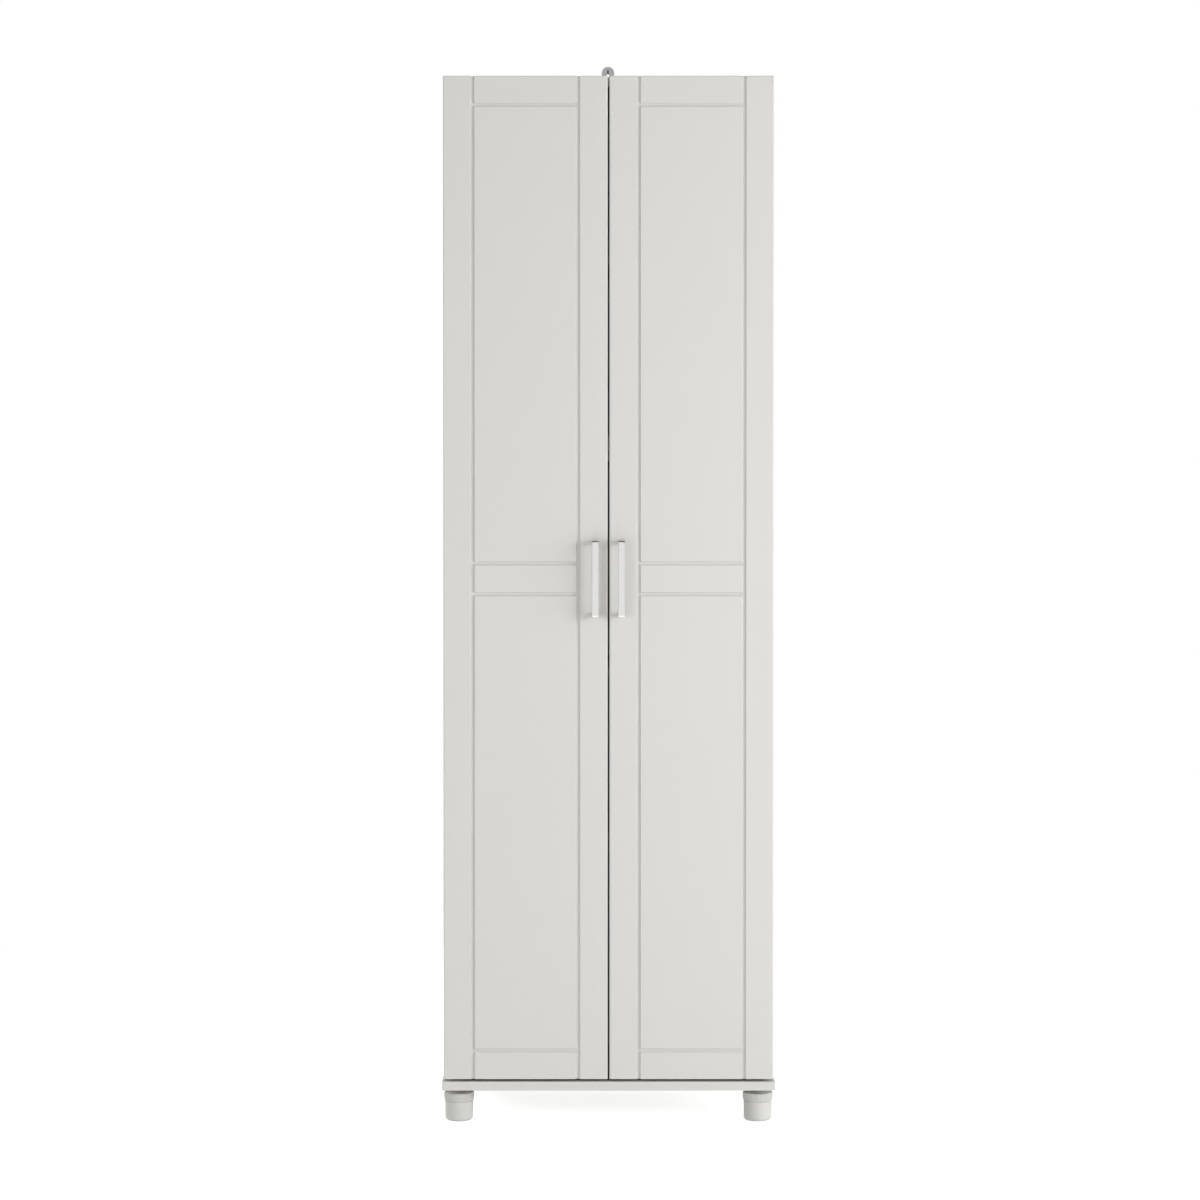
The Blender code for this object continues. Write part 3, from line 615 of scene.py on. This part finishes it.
# %% Hardboard sheet and its nails
NAIL_RADIUS = 2.6 * MM
NAIL_RISE = 0.7 * MM
NAIL_INSET = 8 * MM
NAIL_SPACING = 125 * MM


def back_sheet():
    """The sheet, lacquered on the face that looks into the cabinet."""
    low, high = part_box("back_panel")
    sheet = block("back_sheet", low, high)
    round_sharp(sheet, 0.3 * MM)
    sheet.data.materials.append(BACK_INSIDE)
    sheet.data.materials.append(BACK_OUTSIDE)
    for face in sheet.data.polygons:
        face.material_index = 0 if face.normal.y < -0.9 else 1
    polish(sheet)
    dress(sheet, "cabinet", None, ["back_panel"])


def nail_spots():
    """Where the nails go: down both sides, and along the top and the fixed shelf."""
    low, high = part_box("back_panel")
    span = high.z - low.z - 2 * NAIL_INSET
    count = round(span / NAIL_SPACING)
    for i in range(count + 1):
        z = low.z + NAIL_INSET + i * span / count
        yield low.x + NAIL_INSET, z
        yield high.x - NAIL_INSET, z
    for node in ("top_panel", "fixed_shelf"):
        for step in (-1.5, -0.5, 0.5, 1.5):
            yield step * NAIL_SPACING, centre(node).z


def nails():
    """Domed nail heads, one copied to every spot."""
    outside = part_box("back_panel")[1].y
    bpy.ops.mesh.primitive_uv_sphere_add(segments=16, ring_count=8, radius=NAIL_RADIUS,
                                         location=(0, outside, 0), scale=(1, NAIL_RISE / NAIL_RADIUS, 1))
    head = placed("nail_pattern")
    with editing(head):
        bpy.ops.mesh.bisect(plane_co=(0, outside - 0.1 * MM, 0), plane_no=(0, 1, 0),
                            clear_inner=True, use_fill=True)
    heads = [twin(head, "nail", Matrix.Translation((x, 0, z))) for x, z in nail_spots()]
    discard(head)
    row = joined("back_nails", heads)
    polish(row, 50)
    dress(row, "cabinet", ZINC)


back_sheet()
nails()

# %% [markdown]
# ## The doors
#
# Each door is one board with grooves routed into its face: two upright ones that run out over the top
# and bottom edges, and four level ones between them, which make it look like a framed door. A Boolean
# could cut them, but slicing the board along every groove's edges and pushing the groove floors in by
# 3.5 mm keeps clean four-sided faces, and the router's slopes and mitres come by themselves. The outline
# is rounded by 2.4 mm, less along the bottom, and the grooves by less still, as the foil rounds them.
# These thin lines of light and shade are what shows an edge in a front view.

# %% Routed doors
GROOVE_WIDTH = 6.8 * MM
GROOVE_FLOOR = 4.2 * MM
GROOVE_DEPTH = 3.5 * MM
UPRIGHT_INSET = 52.6 * MM  # from a door's side edge to the middle of a groove
LEVEL_INSET = 51.5 * MM
BAND = 55.3 * MM  # between the two level grooves at mid height
EDGE_ROUND = 2.4 * MM
LOWER_ROUND = 1.2 * MM  # along a door's bottom
GROOVE_ROUND = 0.4 * MM
CUP_HOLE_RADIUS = 17.5 * MM
CUP_HOLE_DEPTH = 11.3 * MM


def slice_across(place, direction):
    """Slice the whole edited piece with a plane."""
    bpy.ops.mesh.select_all(action="SELECT")
    bpy.ops.mesh.bisect(plane_co=place, plane_no=direction)


def door_leaf(word):
    """A door board with its grooves, its hinge holes and its rounded edges."""
    node = f"{word}_door"
    low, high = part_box(node)
    uprights = (low.x + UPRIGHT_INSET, high.x - UPRIGHT_INSET)
    mid = (low.z + high.z) / 2
    levels = (low.z + LEVEL_INSET, mid - BAND / 2, mid + BAND / 2, high.z - LEVEL_INSET)
    half_floor = GROOVE_FLOOR / 2 + 0.1 * MM
    leaf = block(f"{word}_door_leaf", low, high)
    with editing(leaf):
        pick(leaf, "EDGE", lambda edge: max(vert.co.z for vert in edge.verts) > low.z + MM)
        bpy.ops.mesh.bevel(offset=EDGE_ROUND, segments=4, affect="EDGES")
        pick(leaf, "EDGE", lambda edge: max(vert.co.z for vert in edge.verts) < low.z + 0.1 * MM)
        bpy.ops.mesh.bevel(offset=LOWER_ROUND, segments=3, affect="EDGES")

    def on_floor(vert):
        x, y, z = vert.co
        if y > low.y + EDGE_ROUND + 0.1 * MM:
            return False
        upright = any(abs(x - groove) < half_floor for groove in uprights)
        between = uprights[0] - half_floor < x < uprights[1] + half_floor
        return upright or (between and any(abs(z - groove) < half_floor for groove in levels))

    with editing(leaf):
        for offset in (-GROOVE_WIDTH / 2, -GROOVE_FLOOR / 2, GROOVE_FLOOR / 2, GROOVE_WIDTH / 2):
            for x in uprights:
                slice_across((x + offset, 0, 0), (1, 0, 0))
            for z in levels:
                slice_across((0, 0, z + offset), (0, 0, 1))
        pick(leaf, "VERT", on_floor)
        bpy.ops.transform.translate(value=(0, GROOVE_DEPTH, 0))
        bpy.ops.mesh.select_all(action="SELECT")
        bpy.ops.mesh.vert_connect_nonplanar(angle_limit=math.radians(2))
    round_sharp(leaf, GROOVE_ROUND, 2, 35)
    bits = []
    for level in LEVELS:
        spot = centre(f"{word}_hinge_cup_{level}")
        bits.append(rod("bit", (spot.x, high.y - CUP_HOLE_DEPTH, spot.z), (spot.x, high.y + MM, spot.z),
                        CUP_HOLE_RADIUS, 48))
    combine(leaf, joined("bits", bits))
    polish(leaf)
    dress(leaf, f"{word}_door", DOOR_SKIN, [node])


for word, _ in SIDES:
    door_leaf(word)

# %% [markdown]
# ## The handles
#
# A handle is a flat bar, bent square at both ends. It starts as the straight front bar. Two slices mark
# off its ends, and the end faces that look at the door are pulled out to meet it. The two outer bends get
# a radius of 4 mm: the upper one shows the dark ceiling, as the line above each handle in the photograph
# does. Rounding the long edges last gives the crisp but soft line of a brushed bar.

# %% Bar handles
BAR_THICKNESS = 6 * MM
FOOT_HEIGHT = 8 * MM
BEND_RADIUS = 4 * MM
BAR_ROUND = 2.0 * MM
BAR_RISE = 1.2 * MM  # the bar's upper end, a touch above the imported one


def bar_handle(word):
    """A bar with a leg at each end."""
    node = f"{word}_handle"
    low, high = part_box(node)
    high.z += BAR_RISE
    bar = block(f"{word}_bar_handle", low, (high.x, low.y + BAR_THICKNESS, high.z))
    with editing(bar):
        for z in (low.z + FOOT_HEIGHT, high.z - FOOT_HEIGHT):
            slice_across((0, 0, z), (0, 0, 1))

        def end_face(face):
            spot = middle_of(face)
            return face.normal.y > 0.9 and min(spot.z - low.z, high.z - spot.z) < FOOT_HEIGHT

        def outer_bend(edge):
            spot = middle_of(edge)
            return spot.y < low.y + 0.1 * MM and abs(spot.x - (low.x + high.x) / 2) < 0.1 * MM and (
                min(spot.z - low.z, high.z - spot.z) < 0.1 * MM)

        pick(bar, "FACE", end_face)
        bpy.ops.mesh.extrude_region_move(
            TRANSFORM_OT_translate={"value": (0, high.y - low.y - BAR_THICKNESS, 0)})
        pick(bar, "EDGE", outer_bend)
        bpy.ops.mesh.bevel(offset=BEND_RADIUS, segments=8, affect="EDGES")
    round_sharp(bar, BAR_ROUND, 3, 40)
    polish(bar)
    dress(bar, f"{word}_door", HANDLE_NICKEL, [node])


for word, _ in SIDES:
    bar_handle(word)

# %% [markdown]
# ## Turned pieces and screws
#
# Pins, screw heads, rings and feet are all turned: a half outline is drawn as points of radius and
# height and spun about its axis. The outline starts as a circle primitive with as many points as it
# needs, and the edge that would run along the axis is taken out first, so that nothing is swept there.
# One screw is made and given its cross, and every other screw is a copy of it.

# %% The lathe, and one screw to copy
WELD = 0.001 * MM  # points that are closer than this become one


def lathe(name, profile, steps, ring=False):
    """Spin an outline of (radius, height) about Z; a ring's outline is closed."""
    piece = outlined(name, [(radius, 0, height) for radius, height in profile])
    with editing(piece):
        if not ring:
            pick(piece, "EDGE", lambda edge: {vert.index for vert in edge.verts} == {0, len(profile) - 1})
            bpy.ops.mesh.delete(type="EDGE")
        bpy.ops.mesh.select_mode(type="VERT")
        bpy.ops.mesh.select_all(action="SELECT")
        bpy.ops.mesh.spin(steps=steps, angle=2 * math.pi, center=(0, 0, 0), axis=(0, 0, 1))
        bpy.ops.mesh.select_all(action="SELECT")
        bpy.ops.mesh.remove_doubles(threshold=WELD)
        bpy.ops.mesh.normals_make_consistent(inside=False)
    return piece


def scaled(profile):
    """An outline written in millimetres, in metres."""
    return [(radius * MM, height * MM) for radius, height in profile]


def screw(name, radius, rise, sunk=0.8):
    """A domed screw head on the plane z = 0, with a cross recess and a short stub below."""
    dome = [(radius * math.cos(math.radians(a)), rise * math.sin(math.radians(a))) for a in (0, 25, 50, 75)]
    head = lathe(name, scaled([(0, -sunk), (radius, -sunk)] + dome + [(0, rise)]), 32)
    slot = radius * 0.62
    thin = radius * 0.11
    for across, along in ((slot, thin), (thin, slot)):
        cross = block("cross", (-across * MM, -along * MM, (rise - 0.9) * MM),
                      (across * MM, along * MM, (rise + 1) * MM))
        combine(head, cross)
    head.data.materials.append(ZINC)
    polish(head)
    return head


SMALL_SCREW = screw("small_screw", 3.4, 0.9)
LARGE_SCREW = screw("large_screw", 4.5, 2.3, sunk=0.0)


def facing(place, direction):
    """A matrix that stands something made on z = 0 at a place, facing a direction."""
    return Matrix.Translation(place) @ Vector(direction).to_track_quat("Z", "Y").to_matrix().to_4x4()


# %% Handle screws, strike plates and shelf pins
PIN_OUTLINE = [(0, -8), (2.1, -8), (2.5, -7.5), (2.5, 0.3), (3.55, 0.3), (3.75, 0.55), (3.75, 3.4),
               (3.4, 3.75), (3.4, 4.55), (3.75, 4.9), (3.75, 7.8), (3.3, 8.3), (0, 8.3)]


def handle_screws(word):
    """The two screw heads on a door's back."""
    for level in ("lower", "upper"):
        node = f"{word}_handle_screw_{level}"
        spot = centre(node)
        seat = (spot.x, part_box(f"{word}_door")[1].y + 0.3 * MM, spot.z)
        head = twin(LARGE_SCREW, f"{word}_handle_screw_head_{level}", facing(seat, (0, 1, 0)))
        dress(head, f"{word}_door", None, [node])


def strike(word):
    """The steel plate that meets the catch, with one screw in its middle."""
    node = f"{word}_strike_plate"
    low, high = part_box(node)
    plate = block("plate", low, high)
    with editing(plate):
        pick(plate, "EDGE", running(1, 0.5 * MM))
        bpy.ops.mesh.bevel(offset=2 * MM, segments=4, affect="EDGES")
    round_sharp(plate, 0.2 * MM)
    plate.data.materials.append(ZINC)
    polish(plate)
    seat = (centre(node).x, high.y, centre(node).z)
    head = twin(SMALL_SCREW, "head", facing(seat, (0, 1, 0)) @ Matrix.Scale(0.75, 4))
    dress(joined(f"{word}_strike", [plate, head]), f"{word}_door", None, [node])


def shelf_pins():
    """Turned pins: one is made, and twelve copies are pushed into the side panels."""
    pattern = lathe("pin_pattern", scaled(PIN_OUTLINE), 24)
    polish(pattern)
    for level in LEVELS:
        for row in ("front", "back"):
            for word, side in SIDES:
                node = f"pin_{level}_{row}_{word}"
                low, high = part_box(f"{word}_side_panel")
                inner = low.x if side > 0 else high.x
                seat = (inner, centre(node).y, centre(node).z)
                pin = twin(pattern, f"shelf_{node}", facing(seat, (-side, 0, 0)))
                dress(pin, "cabinet", ZINC, [node])
    discard(pattern)


for word, _ in SIDES:
    handle_screws(word)
    strike(word)
shelf_pins()

# %% [markdown]
# ## The hinges
#
# A concealed hinge has a pressed cup sunk in the door and an arm on a mounting plate screwed to the
# side panel. Both are made once, for the lower right hinge, and copied to the other five places; the
# left ones are mirror images. The cup is a stadium-shaped flange joined to a drum and then hollowed. The
# arm is a bar whose nose is drawn in to reach past the door's edge, with two adjusting screws on top.

# %% The hinge cup
CUP_RADIUS = 17.2 * MM
CUP_WALL = 0.9 * MM
RIM = 1.8 * MM
WING_HALF = 8.5 * MM
WING_SHIFT = 5.5 * MM  # the wings sit this far inside the cup's middle
FLANGE = 1.2 * MM
CUP_SCREW_SPACING = 24 * MM  # from the cup's middle, up and down


def hinge_cup(node):
    """The cup and flange of the lower right hinge, with two screws."""
    low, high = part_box(node)
    x, z = high.x - CUP_RADIUS - RIM, (low.z + high.z) / 2
    seat = high.y - FLANGE
    flange = block("flange", (x - WING_SHIFT - WING_HALF, seat, low.z),
                   (x - WING_SHIFT + WING_HALF, high.y, high.z))
    with editing(flange):
        pick(flange, "EDGE", running(1, 0.5 * MM))
        bpy.ops.mesh.bevel(offset=6 * MM, segments=6, affect="EDGES")
    combine(flange, rod("rim", (x, seat, z), (x, high.y, z), CUP_RADIUS + RIM, 48), "UNION")
    combine(flange, rod("drum", (x, low.y, z), (x, seat + FLANGE / 2, z), CUP_RADIUS, 48), "UNION")
    combine(flange, rod("hollow", (x, low.y + CUP_WALL, z), (x, high.y + MM, z), CUP_RADIUS - CUP_WALL, 48))
    round_sharp(flange, 0.3 * MM, 2, 40)
    flange.data.materials.append(HINGE_NICKEL)
    polish(flange)
    parts = [flange]
    for step in (-1, 1):
        spot = (x - WING_SHIFT, high.y, z + step * CUP_SCREW_SPACING)
        parts.append(twin(SMALL_SCREW, "head", facing(spot, (0, 1, 0))))
    return joined("cup_pattern", parts)


# %% The hinge arm
PLATE = 4 * MM
ARM_HALF = 6.5 * MM
NOSE_TIP = 16 * MM  # how far the nose reaches from the turning line, towards the middle
NOSE_RADIUS = 11 * MM
PLATE_BACK = 37 * MM  # from the carcass front to the middle of the mounting plate
WING_LENGTH = 16 * MM


def drawn(name, outline, low, high):
    """An outline in X and Y, raised along Z from one height to another."""
    piece = outlined(name, [(x, y, low) for x, y in outline])
    with editing(piece):
        bpy.ops.mesh.edge_face_add()
        bpy.ops.mesh.extrude_region_move(TRANSFORM_OT_translate={"value": (0, 0, high - low)})
        bpy.ops.mesh.select_all(action="SELECT")
        bpy.ops.mesh.normals_make_consistent(inside=False)
    return piece


def hinge_arm(node, joint):
    """The arm, mounting plate and screws of the lower right hinge."""
    low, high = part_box(node)
    turn_x, turn_y, _ = joint["pos_m"]
    z = (low.z + high.z) / 2
    carcass_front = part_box("fixed_shelf")[0].y
    wall = high.x
    under = wall - PLATE
    over = low.x
    shoulder = carcass_front + 2 * MM
    root = carcass_front + 6 * MM
    angles = [math.radians(degrees) for degrees in (34, 27, 21, 14, 8)]
    nose = [(turn_x - NOSE_RADIUS * math.cos(a), turn_y + NOSE_RADIUS * math.sin(a)) for a in angles]
    tip = (turn_x - NOSE_TIP, nose[-1][1])
    outline = [(under, high.y), (under, root)] + nose + [tip, (over, shoulder), (over, high.y)]
    arm = drawn("arm", outline, z - ARM_HALF, z + ARM_HALF)
    round_sharp(arm, 0.8 * MM, 3, 30)
    middle = carcass_front + PLATE_BACK
    boss = block("boss", (under - 5 * MM, middle - 10 * MM, z - 5.2 * MM),
                 (wall, middle + 10 * MM, z + 5.2 * MM))
    combine(arm, boss, "UNION")
    wings = block("wings", (under, middle - WING_LENGTH / 2, low.z), (wall, middle + WING_LENGTH / 2, high.z))
    with editing(wings):
        pick(wings, "EDGE", running(0, 3 * MM))
        bpy.ops.mesh.bevel(offset=4 * MM, segments=5, affect="EDGES")
    round_sharp(wings, 0.5 * MM)
    combine(arm, wings, "UNION")
    arm.data.materials.append(HINGE_NICKEL)
    polish(arm)
    parts = [arm]
    for step in (-1, 1):
        parts.append(twin(SMALL_SCREW, "head", facing((under, middle, z + step * 18 * MM), (-1, 0, 0))))
    for y, size in ((carcass_front + 22 * MM, 0.95), (high.y - 12 * MM, 1.15)):
        parts.append(twin(SMALL_SCREW, "head", facing((over, y, z), (-1, 0, 0)) @ Matrix.Scale(size, 4)))
    return joined("arm_pattern", parts)


# %% Copy the hinge to its six places
def hinges():
    """Copies of the lower right hinge, moved up and mirrored."""
    joint = next(item for item in frame["joints"] if item["name"] == "right_door_hinge")
    cup = hinge_cup("right_hinge_cup_lower")
    arm = hinge_arm("right_hinge_arm_lower", joint)
    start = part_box("right_hinge_cup_lower")[0].z
    for word, side in SIDES:
        for level in LEVELS:
            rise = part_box(f"{word}_hinge_cup_{level}")[0].z - start
            move = Matrix.Translation((0, 0, rise))
            if side < 0:
                move = MIRROR @ move
            dress(twin(cup, f"{word}_cup_{level}", move), f"{word}_door", None,
                  [f"{word}_hinge_cup_{level}"])
            dress(twin(arm, f"{word}_arm_{level}", move), "cabinet", None,
                  [f"{word}_hinge_arm_{level}"])
    discard(cup, arm)


hinges()

# %% [markdown]
# ## Catch and wall bracket
#
# The catch is a moulded block on the fixed shelf with two magnets behind steel pole plates, one for each
# door. The bracket is a steel strap bent at a right angle: an L-shaped outline raised to the strap's
# width, cut to a round end and pierced with a hole for the wall screw and a narrow slot above it. A
# thin black pad lies behind it, and its near-black, seen through the slot, is painted shade; the hole
# goes through both.

# %% Magnetic catch
MAGNET_SIDE = 12.5 * MM  # from the catch's middle to a magnet, and to a screw
POLE_SIDE = 4.2 * MM  # from a magnet's middle to a pole plate
POLE_DEPTH = 3 * MM


def catch():
    """The housing, its four pole plates, two magnets and two screws."""
    low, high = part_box("magnetic_catch")
    middle = centre("magnetic_catch")
    body = block("housing", low, high)
    round_sharp(body, 1.2 * MM, 3)
    parts = []

    def upright(name, x, half, reach, sunk, finish):
        """A magnet or a pole plate, standing a little behind the housing's face."""
        bar = block(name, (x - half, low.y + sunk, middle.z - reach),
                    (x + half, low.y + POLE_DEPTH, middle.z + reach))
        bar.data.materials.append(finish)
        round_sharp(bar, 0.25 * MM)
        parts.append(bar)

    for side in (-1, 1):
        x = side * MAGNET_SIDE
        combine(body, block("recess", (x - 8 * MM, low.y - MM, middle.z - 10 * MM),
                            (x + 8 * MM, low.y + POLE_DEPTH / 2, middle.z + 10 * MM)))
        upright("magnet", x, 2.6 * MM, 9 * MM, 0.4 * MM, MAGNET)
        for step in (-1, 1):
            upright("pole", x + step * POLE_SIDE, 0.8 * MM, 9.5 * MM, 0.1 * MM, ZINC)
    body.data.materials.append(CATCH_PLASTIC)
    polish(body)
    for side in (-1, 1):
        parts.append(twin(SMALL_SCREW, "head", facing((side * MAGNET_SIDE, middle.y, high.z), (0, 0, 1))))
    dress(joined("catch", [body] + parts), "cabinet", None, ["magnetic_catch"])


catch()

# %% Wall bracket with its screw hole and slot
STRAP = 1.6 * MM
BEND = 2.2 * MM
SCREW_HOLE = 2.5 * MM
SCREW_HOLE_DOWN = 16.5 * MM
SLOT = 1.2 * MM
SLOT_DOWN = 6.2 * MM


def round_end(half, low, high):
    """A tool that keeps what lies inside a round top end."""
    crown = high.z - half
    tool = block("round_end", (-half, low.y - MM, low.z - MM), (half, high.y + MM, crown))
    combine(tool, rod("end", (0, low.y - MM, crown), (0, high.y + MM, crown), half, 64), "UNION")
    return tool


def bent_strap():
    """The bracket: an L with a round end, a screw hole and a slot."""
    low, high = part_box("wall_bracket")
    half = (high.x - low.x) / 2
    turn = Vector((high.y - STRAP - BEND, low.z + STRAP + BEND))
    angles = [math.radians(degrees) for degrees in range(0, 91, 15)]
    inner = [(turn.x + BEND * math.sin(a), turn.y - BEND * math.cos(a)) for a in angles]
    reach = BEND + STRAP
    outer = [(turn.x + reach * math.sin(a), turn.y - reach * math.cos(a)) for a in reversed(angles)]
    outline = [(low.y, low.z + STRAP)] + inner + [(high.y - STRAP, high.z), (high.y, high.z)]
    outline += outer + [(low.y, low.z)]
    strap = drawn("strap", outline, -half, half)
    strap.data.transform(Matrix(((0, 0, 1, 0), (1, 0, 0, 0), (0, 1, 0, 0), (0, 0, 0, 1))))
    combine(strap, round_end(half, low, high), "INTERSECT")
    through = high.z - SCREW_HOLE_DOWN
    slot_top = high.z - SLOT_DOWN - SLOT
    near, far = high.y - STRAP - MM, high.y + MM
    for tool in (rod("hole", (0, near, through), (0, far, through), SCREW_HOLE),
                 block("slot", (-SLOT, near, through), (SLOT, far, slot_top)),
                 rod("cap", (0, near, slot_top), (0, far, slot_top), SLOT)):
        combine(strap, tool)
    round_sharp(strap, 0.25 * MM, 2, 50)
    strap.data.materials.append(ZINC)
    polish(strap)
    dress(strap, "cabinet", None, ["wall_bracket"])


def shade_pad():
    """The thin black pad between strap and wall, open where the wall screw passes; its black, seen through
    the slot, is painted shade.
    """
    low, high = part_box("wall_pad")
    half = (high.x - low.x) / 2
    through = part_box("wall_bracket")[1].z - SCREW_HOLE_DOWN
    pad = block("pad", (low.x - MM, low.y, low.z), (high.x + MM, high.y, high.z + MM))
    combine(pad, round_end(half, low, high), "INTERSECT")
    combine(pad, rod("hole", (0, low.y - MM, through), (0, high.y + MM, through), SCREW_HOLE + 0.3 * MM))
    round_sharp(pad, 0.2 * MM, 2, 50)
    polish(pad)
    dress(pad, "cabinet", SLOT_SHADE_BLACK, ["wall_pad"])


def bracket_screw():
    """The head of the screw that holds the bracket's foot on the cabinet's top."""
    spot = centre("bracket_screw")
    spot.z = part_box("wall_bracket")[0].z + STRAP + 0.3 * MM
    head = twin(LARGE_SCREW, "bracket_screw_head", facing(spot, (0, 0, 1)))
    dress(head, "cabinet", None, ["bracket_screw"])


bent_strap()
shade_pad()
bracket_screw()

# %% [markdown]
# ## The levelling feet
#
# Each foot is three pieces: a zinc stud under the base board, a ribbed ring that fingers can turn, and a
# cup-shaped foot with a rounded lower edge. The photograph shows a pale disc inside the ring, with a dark
# line round it: that is a narrow groove here. The ring is turned as a plain ring first. Then every second
# strip of its rim and of the cone below is inset and pushed out, which makes forty ribs with sloping
# flanks in one step. The stud's thread is one V on a vertical line, carried round and up by the Screw
# modifier.

# %% Feet
RIBS = 40
RIB_HEIGHT = 0.8 * MM
RIB_SLOPE = 0.35 * MM
THREAD_PITCH = 1.5 * MM
CORNERS = ("front_left", "front_right", "back_left", "back_right")


def foot_ring_pattern():
    """The ribbed ring, at its height, round the Z axis."""
    low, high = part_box("foot_ring_front_left")
    outer = (high.x - low.x) / 2 / MM
    body = outer - RIB_HEIGHT / MM
    top, bottom = high.z / MM, low.z / MM
    ribs = top - 9.0
    cone = [(5.3, bottom), (25.1, bottom), (25.3, bottom + 0.2), (body, ribs)]
    rim = [(body, top - 0.9), (body - 0.3, top - 0.3), (body - 0.9, top), (outer - 2.6, top)]
    groove = [(outer - 3.1, top - 0.5), (outer - 3.1, top - 3.0), (outer - 4.1, top - 3.0)]
    disc = [(outer - 4.1, top - 1.0), (outer - 4.5, top - 0.6), (5.7, top - 0.2), (5.3, top - 0.6)]
    ring = lathe("ring_pattern", scaled(cone + rim + groove + disc), 2 * RIBS, ring=True)
    step = math.pi / RIBS

    def rib(face):
        """Every second strip of the ring's outside, between its lower edge and its rim."""
        spot = middle_of(face)
        outside = face.normal.xy.length > 0.9 and spot.xy.length > 25.25 * MM
        turn = math.floor(math.atan2(spot.y, spot.x) / step)
        return outside and bottom + 0.5 < spot.z / MM < top - 1 and turn % 2 == 0

    with editing(ring):
        pick(ring, "FACE", rib)
        bpy.ops.mesh.inset(thickness=RIB_SLOPE, depth=RIB_HEIGHT)
    polish(ring, 30)
    return ring


def foot_cup_pattern():
    """The foot, round the Z axis, with a shallow sole and the bore for the stud."""
    low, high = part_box("foot_cup_front_left")
    top = (high.x - low.x) / 2 / MM
    bottom = 25.0
    height = high.z / MM
    edge = 6.0
    rounded = [(bottom - edge + edge * math.sin(math.radians(a)), edge - edge * math.cos(math.radians(a)))
               for a in range(0, 91, 15)]
    outline = [(0, 0.0)] + rounded + [(top, height - 0.3), (top - 0.3, height),
                                      (5.3, height), (5.3, height - 22.3), (0, height - 22.3)]
    cup = lathe("cup_pattern", scaled(outline), 72)
    polish(cup, 30)
    return cup


def stud_pattern():
    """The stud: a flange, a plain neck and a threaded shank."""
    low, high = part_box("foot_stud_front_left")
    flange_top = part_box("bottom_panel")[0].z - 0.3 * MM
    top, end = flange_top / MM, high.z / MM
    outline = [(0, top - 2), (11.6, top - 2), (12, top - 1.6), (12, top - 0.3), (11.7, top), (5, top),
               (5, end), (0, end)]
    flange = lathe("flange", scaled(outline), 32)
    points = ((4.35 * MM, 0), (5.0 * MM, THREAD_PITCH / 2), (4.35 * MM, THREAD_PITCH))
    thread = outlined("thread", [(radius, 0, low.z + height) for radius, height in points])
    with editing(thread):
        pick(thread, "EDGE", lambda edge: {vert.index for vert in edge.verts} == {0, 2})
        bpy.ops.mesh.delete(type="EDGE")
    only(thread)
    turn = thread.modifiers.new("thread", "SCREW")
    turn.screw_offset = THREAD_PITCH
    turn.iterations = round((flange_top - 2.5 * MM - low.z) / THREAD_PITCH) - 1
    turn.steps = 24
    turn.render_steps = 24
    turn.use_merge_vertices = True
    turn.merge_threshold = WELD
    bpy.ops.object.modifier_apply(modifier=turn.name)
    with editing(thread):
        bpy.ops.mesh.remove_doubles(threshold=WELD)
        bpy.ops.mesh.fill_holes(sides=0)
        bpy.ops.mesh.normals_make_consistent(inside=False)
    stud = joined("stud_pattern", [flange, thread])
    polish(stud, 40)
    return stud


def feet():
    """Copies of the three foot pieces under each corner."""
    patterns = (("foot_ring", "ring", foot_ring_pattern(), FOOT_PLASTIC, "foot_plastic"),
                ("foot_cup", "foot", foot_cup_pattern(), FOOT_PLASTIC, "foot_plastic"),
                ("foot_stud", None, stud_pattern(), BRIGHT_ZINC, "zinc_hardware"))
    for corner in CORNERS:
        spot = centre(f"foot_cup_{corner}")
        move = Matrix.Translation((spot.x, spot.y, 0))
        for kind, body, pattern, finish, slot in patterns:
            piece = twin(pattern, f"{kind.split('_')[1]}_{corner}", move)
            dress(piece, f"{body}_{corner}" if body else "cabinet", finish, [f"{kind}_{corner}"])
    discard(*(pattern for _, _, pattern, _, _ in patterns))


feet()
discard(SMALL_SCREW, LARGE_SCREW)

# %% [markdown]
# ## The floor
#
# A plain pale floor takes the cabinet's soft shadow. Near the cabinet it is a matt surface that glows a
# little, and further off it fades to the white of the background for the camera, as the photograph's
# floor does. The fade depends on the distance from the cabinet alone, so it stays put in every view.

# %% Pale floor
FLOOR_HALF = 30.0
FADE_START = 0.55
FADE_END = 2.4
FLOOR_GLOW = 0.70


def pale_floor():
    """A wide plane, marked as stage."""
    bpy.ops.mesh.primitive_plane_add(size=2 * FLOOR_HALF, location=(0, 0, -0.2 * MM))
    floor = placed("pale_floor")
    ground = Finish("pale_floor", Roughness=0.9)
    ground.set("Base Color", (0.86, 0.86, 0.85, 1))
    ground.set("Specular IOR Level", 0.1)
    away = ground.node("ShaderNodeVectorMath", {"operation": "LENGTH"}, {0: ground.place}, output="Value")
    fade = ground.ramp(away, FADE_START, FADE_END)
    looked_at = ground.seen_by("Camera") + ground.seen_by("Glossy") + ground.seen_by("Transmission")
    white = ground.node("ShaderNodeEmission", inputs={"Color": (1, 1, 1, 1), "Strength": 1.0})
    glow = ground.node("ShaderNodeEmission",
                       inputs={"Color": (1, 1, 1, 1), "Strength": looked_at * FLOOR_GLOW})
    lit = ground.node("ShaderNodeAddShader", inputs={0: Wire(ground, ground.shader.outputs[0]), 1: glow})
    whole = ground.node("ShaderNodeMixShader", inputs={0: fade * looked_at, 1: lit, 2: white})
    output = ground.tree.nodes["Material Output"]
    ground.tree.links.new(whole.socket, output.inputs["Surface"])
    floor.data.materials.append(ground.material)


pale_floor()
